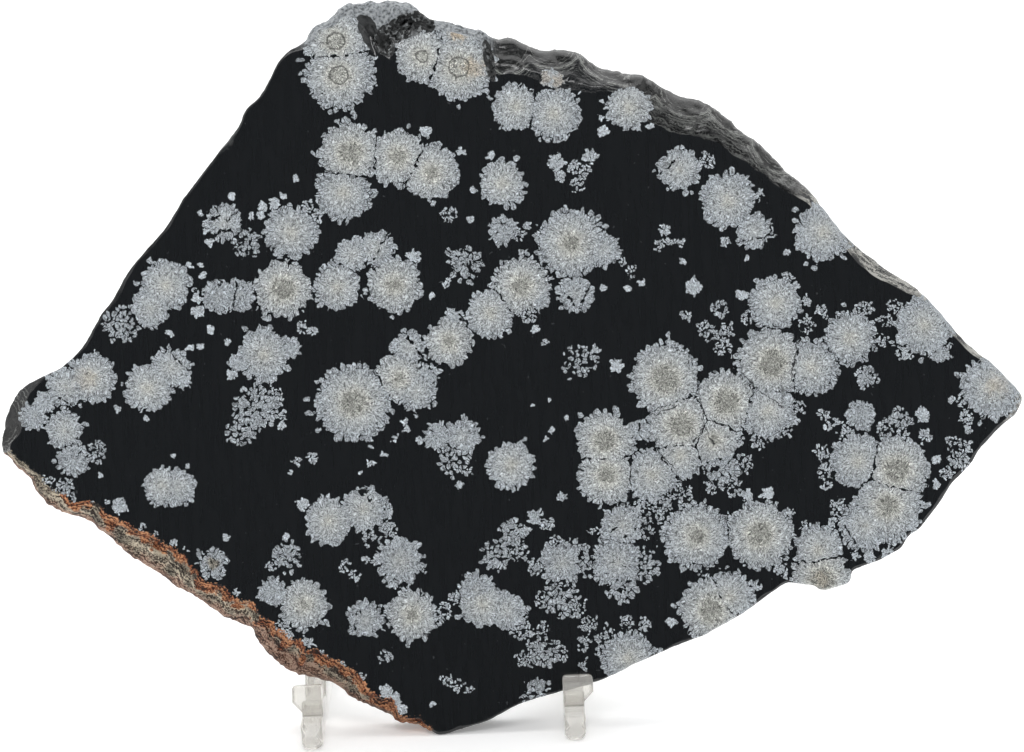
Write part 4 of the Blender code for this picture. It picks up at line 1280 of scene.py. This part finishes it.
def rock_here(tree):
    """What every layer of the stone's material reads, as one bundle: the place in millimetres, what is
    stored on the slab, the noises, and the streaks that run along the edge. Those are a noise of the length
    along it and of the distance past the polished face, waved by the fine noise."""
    place = add(tree, "TexCoord").outputs["Object"]
    place = add(tree, "VectorMath SCALE", {0: place, 3: 1 / MM})
    rock = SimpleNamespace(place=place, scattered=scattered_place(tree, place))
    for name in (*STORED, *MARKED_KINDS):
        setattr(rock, name, add(tree, "Attribute", attribute_name=name).outputs["Fac"])
    for name, (size, detail, roughness) in NOISES.items():
        settings = {"Vector": place, "Scale": 1 / size, "Detail": detail, "Roughness": roughness}
        setattr(rock, name, add(tree, "TexNoise", settings).outputs["Fac"])
    rock.in_front = add(tree, "Math LESS_THAN", rock.outside_mm, BEHIND / 2)
    rock.on_rim = add(tree, "MapRange", rock.outside_mm, 0.0, 0.12, **SMOOTH)
    rock.on_rim = add(tree, "Math MULTIPLY", rock.on_rim, rock.in_front)
    rock.broken = add(tree, "Math ADD", rock.glassy, rock.hackled)
    rock.broken = add(tree, "Math ADD", rock.broken, rock.sheared)
    rock.broken_rim = add(tree, "Math MULTIPLY", rock.broken, rock.on_rim)
    rock.past = add(tree, "Math MULTIPLY_ADD", rock.fine, 1.6, -0.8)
    rock.past = add(tree, "Math ADD", rock.outside_mm, rock.past)
    along = add(tree, "Math MULTIPLY", rock.along_mm, STREAK_SQUEEZE)
    streak_place = add(tree, "CombineXYZ", along, rock.past)
    settings = {"Vector": streak_place, "Scale": 1 / STREAK_SIZE, "Detail": 4.0}
    rock.streak = add(tree, "TexNoise", settings).outputs["Fac"]
    return rock


def polish(tree, rock):
    """On the polished black, how strong its faint sheen in bands is, and where a speck of dust lies."""
    bands = add(tree, "Mapping", {0: rock.place, 3: (0.9, 0.3, 0.12)}, vector_type="POINT")
    sheen = add(tree, "TexNoise", {"Vector": bands, "Scale": 1.0, "Detail": 4.0})
    dust = add(tree, "TexVoronoi", {"Vector": rock.scattered, "Scale": 1 / DUST_SPACING, "Randomness": 1.0})
    chance = add(tree, "SeparateColor", dust.outputs["Color"]).outputs[0]
    size = add(tree, "MapRange", chance, 0.90, 1.0, 0.0, 0.20, **SMOOTH)
    dusty = add(tree, "Math LESS_THAN", dust.outputs["Distance"], size)
    return add(tree, "MapRange", sheen, 0.35, 0.7, **SMOOTH), dusty


def scallop_smoothness_and_painted_highlights(tree, rock):
    """On the broken glass, where a scallop is smooth, and where its light lines lie, which are painted
    highlights:
    one at its border and fainter arcs beside it, all broken off here and there."""
    inside = add(tree, "Math MULTIPLY_ADD", rock.fine, 0.7, rock.scallop_mm)
    smooth = add(tree, "MapRange", inside, SCALLOP_LINE_INSET, 0.9, 0.0, 0.8, **SMOOTH)
    smooth = add(tree, "Math MULTIPLY", smooth, rock.broken_rim)
    from_border = add(tree, "Math SUBTRACT", inside, SCALLOP_LINE_INSET)
    from_border = add(tree, "Math ABSOLUTE", from_border)
    line = add(tree, "Math WRAP", inside, 0.0, ARC_SPACING)
    line = add(tree, "MapRange", line, 0.17, 0.06, 0.0, 0.8, **SMOOTH)
    line = add(tree, "Math MULTIPLY", line, add(tree, "MapRange", from_border, 2.2, 0.6, **SMOOTH))
    line = add(tree, "Math MULTIPLY", line, add(tree, "MapRange", rock.broad, 0.38, 0.54, **SMOOTH))
    border = add(tree, "MapRange", from_border, 0.16, 0.05, **SMOOTH)
    border = add(tree, "Math MULTIPLY", border, add(tree, "MapRange", rock.broad, 0.36, 0.46, **SMOOTH))
    line = add(tree, "Math MAXIMUM", line, border)
    return smooth, add(tree, "Math MULTIPLY", line, rock.broken_rim)


def rough_breaks(tree, rock):
    """Where any break and where a rough one lies, both with a wavering border, the rough ones' colour, which
    is small dark facets with a few light ones that are painted glints, and the facets' height."""
    wavering = add(tree, "Math MULTIPLY_ADD", rock.broad, 0.9, -0.42)
    covers = []
    for scar in (rock.any_scar, rock.rough_scar):
        inside = add(tree, "Math ADD", scar, wavering)
        covers.append(add(tree, "MapRange", inside, 0.0, 0.05, **SMOOTH))
    facet = add(tree, "TexVoronoi", {"Vector": rock.scattered, "Scale": 1 / FACET_SIZE, "Randomness": 1.0})
    chance = add(tree, "SeparateColor", facet.outputs["Color"]).outputs[0]
    return *covers, add(tree, "ValToRGB", chance, stops=FACET_TONES_AND_PAINTED_GLINTS), facet.outputs["Distance"]


def rind(tree, rock):
    """The weathered rind's cover and colour: layers of grit in greys, a brown border of uneven width next to
    the polished face, and reddish ledges at the outer edge."""
    layers = add(tree, "Math MULTIPLY", rock.streak, 0.60)
    layers = add(tree, "Math MULTIPLY_ADD", rock.grit, 0.40, layers)
    layers = add(tree, "Math MULTIPLY_ADD", layers, 2.7, -0.86)
    colour = add(tree, "ValToRGB", layers, stops=three_tones(RIND_TONES))
    tone = add(tree, "Math MULTIPLY_ADD", rock.broad, 3.0, -0.55)
    colour = add(tree, "VectorMath SCALE", {0: colour, 3: tone})

    across = add(tree, "SeparateXYZ", rock.place).outputs["X"]
    far = add(tree, "Math MULTIPLY_ADD", rock.broad, 0.9, rock.rim_share)
    from_ledge = add(tree, "Math ADD", across, -LEDGE_ACROSS)
    from_ledge = add(tree, "Math ABSOLUTE", from_ledge)
    far = add(tree, "Math ADD", far, add(tree, "MapRange", from_ledge, 7.0, 5.0, 0.0, 0.35, **SMOOTH))
    at_edge = add(tree, "MapRange", far, 1.05, 1.35, **SMOOTH)
    edge = add(tree, "ValToRGB", layers, stops=three_tones(RIND_EDGE_TONES))
    colour = add(tree, "Mix", {0: at_edge, 6: colour, 7: edge}, data_type="RGBA")

    ragged = add(tree, "Math MULTIPLY_ADD", rock.grit, 2.4, -1.2)
    ragged = add(tree, "Math ADD", ragged, rock.past)
    width = add(tree, "Math MULTIPLY_ADD", rock.broad, 8.0, -4.9)
    width = add(tree, "Math MULTIPLY_ADD", rock.slow, 4.6, width)
    width = add(tree, "Math ADD", width, add(tree, "MapRange", across, *BROWN_START, -3.0, 0.0, **SMOOTH))
    past_brown = add(tree, "Math SUBTRACT", ragged, width)
    near_face = add(tree, "MapRange", past_brown, 0.35, -0.35, **SMOOTH)
    brown = add(tree, "ValToRGB", layers, stops=three_tones(RIND_BROWN_TONES))
    warmth = add(tree, "Math MULTIPLY_ADD", rock.fine, 2.4, -0.22)
    brown = add(tree, "VectorMath SCALE", {0: brown, 3: warmth})
    colour = add(tree, "Mix", {0: near_face, 6: colour, 7: brown}, data_type="RGBA")

    cover = add(tree, "MapRange", ragged, -0.25, 0.1, **SMOOTH)
    cover = add(tree, "Math MULTIPLY", cover, rock.crusted)
    cover = add(tree, "Math MULTIPLY", cover, rock.in_front)
    return add(tree, "MapRange", cover, 0.35, 0.65, **SMOOTH), colour


def obsidian_material():
    """Snowflake obsidian: black volcanic glass, polished on the face and freshly broken or weathered at the
    rim, with grey crystal flakes. It gives a near-black mirror, matt grey flakes and an earthy crust. Its
    colour and its roughness are stacks of layers, each laid over the ones before it by its own cover."""
    material, tree, shader = new_material("snowflake_obsidian")
    rock = rock_here(tree)
    sheen, dust = polish(tree, rock)
    weights = (rock.hackled, rock.bruised, rock.pitted)
    hackled, bruised, pitted = (add(tree, "Math MULTIPLY", weight, rock.on_rim) for weight in weights)
    hackle = add(tree, "ValToRGB", rock.streak, stops=three_tones(HACKLE_TONES))
    smooth, arcs = scallop_smoothness_and_painted_highlights(tree, rock)
    sharper = add(tree, "Math MULTIPLY_ADD", rock.streak, 1.7, -0.35)
    bruise = add(tree, "ValToRGB", sharper, stops=three_tones(BRUISE_TONES))
    flake = flake_here(tree, rock.scattered)
    flakes = flake_colour(tree, rock.scattered, rock.place, flake)
    lump = add(tree, "ValToRGB", rock.fine, stops=three_tones(LUMP_TONES))
    scar, rough_scar, facets, facet_height = rough_breaks(tree, rock)
    crusted, crust = rind(tree, rock)

    # The flakes end past the middle of a broken rim, and cracks stay off the back.
    gone = add(tree, "MapRange", rock.rim_share, 0.55, 0.7, **SMOOTH)
    gone = add(tree, "Math MULTIPLY", rock.broken, gone)
    gone = add(tree, "Math MULTIPLY", gone, rock.in_front)
    cover = add(tree, "Math SUBTRACT", flake_cover(tree, rock.scattered, flake), gone, use_clamp=True)
    crack = add(tree, "Math MULTIPLY", cracks(tree, rock.scattered), rock.in_front)

    colour = rgb(POLISHED_BLACK)
    for amount, layer in (
        (sheen, rgb(SHEEN_BLACK)),
        (dust, rgb(DUST_GREY)),
        (hackled, hackle),
        (smooth, rgb(SCALLOP_BLACK)),
        # painted highlights: light lines along the scallops' borders and arcs
        (arcs, rgb(SCALLOP_PAINTED_HIGHLIGHT)),
        (bruised, bruise),
        (cover, flakes),
        (crack, rgb(CRACK_DARK)),
        (pitted, lump),
        (scar, rgb(SMOOTH_SCAR)),
        # dark facets, and painted glints on the light ones
        (rough_scar, facets),
        (crusted, crust),
    ):
        colour = add(tree, "Mix", {0: amount, 6: colour, 7: layer}, data_type="RGBA")

    roughness = 0.09
    sawn = add(tree, "Math GREATER_THAN", rock.outside_mm, BEHIND / 2)
    for amount, layer in (
        (cover, 0.30),
        (sawn, 0.45),
        (hackled, 0.22),
        (bruised, 0.60),
        (pitted, 0.65),
        (crusted, 0.90),
    ):
        roughness = add(tree, "Mix", {0: amount, 2: roughness, 3: layer})

    # The rough parts of the rim are lumpy, rough breaks have facets, and broken glass has fine ledges.
    height = add(tree, "Math MAXIMUM", crusted, pitted)
    height = add(tree, "Math MAXIMUM", height, bruised)
    height = add(tree, "Math MULTIPLY", rock.fine, height)
    height = add(tree, "Math ADD", height, add(tree, "Math MULTIPLY", facet_height, rough_scar))
    rippled = add(tree, "Math SUBTRACT", rock.broken_rim, smooth)
    rippled = add(tree, "Math MULTIPLY", rippled, 0.5)
    ledge = add(tree, "MapRange", rock.streak, 0.50, 0.55, **SMOOTH)
    height = add(tree, "Math MULTIPLY_ADD", ledge, rippled, height)
    bump = add(tree, "Bump", {"Height": height, "Strength": 0.6, "Distance": BUMP_DEPTH * MM})
    tree.links.new(first_output(colour), shader.inputs["Base Color"])
    tree.links.new(first_output(roughness), shader.inputs["Roughness"])
    tree.links.new(first_output(bump), shader.inputs["Normal"])
    shader.inputs["IOR"].default_value = OBSIDIAN_IOR
    return material


def acrylic_material():
    """Clear moulded acrylic: plain transmission at its own index, with a faint surface haze. It shows as
    bright and dark lines at its edges and lets the white table through."""
    material, _, shader = new_material("clear_acrylic")
    shader.inputs["Base Color"].default_value = rgb(ACRYLIC_TINT)
    shader.inputs["Transmission Weight"].default_value = ACRYLIC_CLEARNESS
    shader.inputs["Roughness"].default_value = ACRYLIC_HAZE
    shader.inputs["IOR"].default_value = ACRYLIC_IOR
    return material


def floor():
    """A plain white floor, which glows a little so that it stays white in the stone's shade."""
    mesh = bpy.data.meshes.new("floor")
    corners = [(-FLOOR_REACH, -FLOOR_REACH, 0), (FLOOR_REACH, -FLOOR_REACH, 0)]
    corners += [(FLOOR_REACH, FLOOR_REACH, 0), (-FLOOR_REACH, FLOOR_REACH, 0)]
    mesh.from_pydata(corners, [], [(0, 1, 2, 3)])
    made = bpy.data.objects.new("floor", mesh)
    bpy.context.scene.collection.objects.link(made)
    material, _, shader = new_material("pale_floor")
    shader.inputs["Base Color"].default_value = rgb(FLOOR_WHITE)
    shader.inputs["Roughness"].default_value = 0.9
    shader.inputs["Emission Color"].default_value = rgb(FLOOR_WHITE)
    shader.inputs["Emission Strength"].default_value = FLOOR_GLOW
    mesh.materials.append(material)


def soft_light(name, place, aim, size, power):
    """A square area light at one point, turned towards another."""
    light = bpy.data.lights.new(name, "AREA")
    light.size = size
    light.energy = power
    lamp = bpy.data.objects.new(name, light)
    lamp.location = place
    lamp.rotation_euler = (Vector(aim) - Vector(place)).to_track_quat("-Z", "Y").to_euler()
    bpy.context.scene.collection.objects.link(lamp)


def camera():
    """The photograph's camera: square on to the polished face, aimed at the picture's middle and rolled."""
    middle = in_slab([(PHOTO_SIZE[0] / 2, PHOTO_SIZE[1] / 2)])[0]
    target = Vector(leaned(*middle, 0.0) * MM)
    slope = Vector((0.0, math.sin(LEAN), math.cos(LEAN)))
    back = Vector((0.0, -math.cos(LEAN), math.sin(LEAN)))
    across = Vector((1.0, 0.0, 0.0))
    right = across * math.cos(PHOTO_ROLL) - slope * math.sin(PHOTO_ROLL)
    up = across * math.sin(PHOTO_ROLL) + slope * math.cos(PHOTO_ROLL)
    data = bpy.data.cameras.new("camera")
    data.sensor_width = SENSOR_WIDTH
    data.lens = SENSOR_WIDTH * CAMERA_DISTANCE / (PHOTO_SIZE[0] * SCALE)
    data.clip_start = CAMERA_NEAREST * MM
    thing = bpy.data.objects.new("camera", data)
    bpy.context.scene.collection.objects.link(thing)
    place = target + back * CAMERA_DISTANCE * MM
    axes = Matrix((right, up, back)).transposed().to_4x4()
    thing.matrix_world = Matrix.Translation(place) @ axes
    bpy.context.scene.camera = thing


def world():
    """White to the camera, and soft grey to everything else, fading out round the camera's own direction so
    that the polished face mirrors a dark room."""
    made = bpy.data.worlds.new("studio")
    bpy.context.scene.world = made
    made.use_nodes = True
    tree = made.node_tree
    background = tree.nodes["Background"]
    look = add(tree, "TexCoord").outputs["Generated"]
    towards = (0.0, -math.cos(LEAN), math.sin(LEAN))
    facing = add(tree, "VectorMath DOT_PRODUCT", look, towards).outputs["Value"]
    room = add(tree, "MapRange", facing, -0.15, 0.88, ROOM_BRIGHT, ROOM_DARK, **SMOOTH)
    seen = add(tree, "LightPath").outputs["Is Camera Ray"]
    strength = add(tree, "Mix", {0: seen, 2: room, 3: 1.0})
    tree.links.new(first_output(strength), background.inputs["Strength"])
    background.inputs["Color"].default_value = rgb(FLOOR_WHITE)


def main():
    """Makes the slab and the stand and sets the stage."""
    obsidian_slab()
    clear = acrylic_material()
    stand_arm("stand_arm_left", -1, clear)
    stand_arm("stand_arm_right", 1, clear)
    for name in ("stand_rod_lower", "stand_rod_upper"):
        node = frame["nodes"][name]
        node.data.materials.clear()
        node.data.materials.append(clear)
    floor()
    for name, settings in LIGHTS.items():
        soft_light(name, *settings)
    camera()
    world()
    bpy.context.scene.view_settings.view_transform = "Standard"


main()
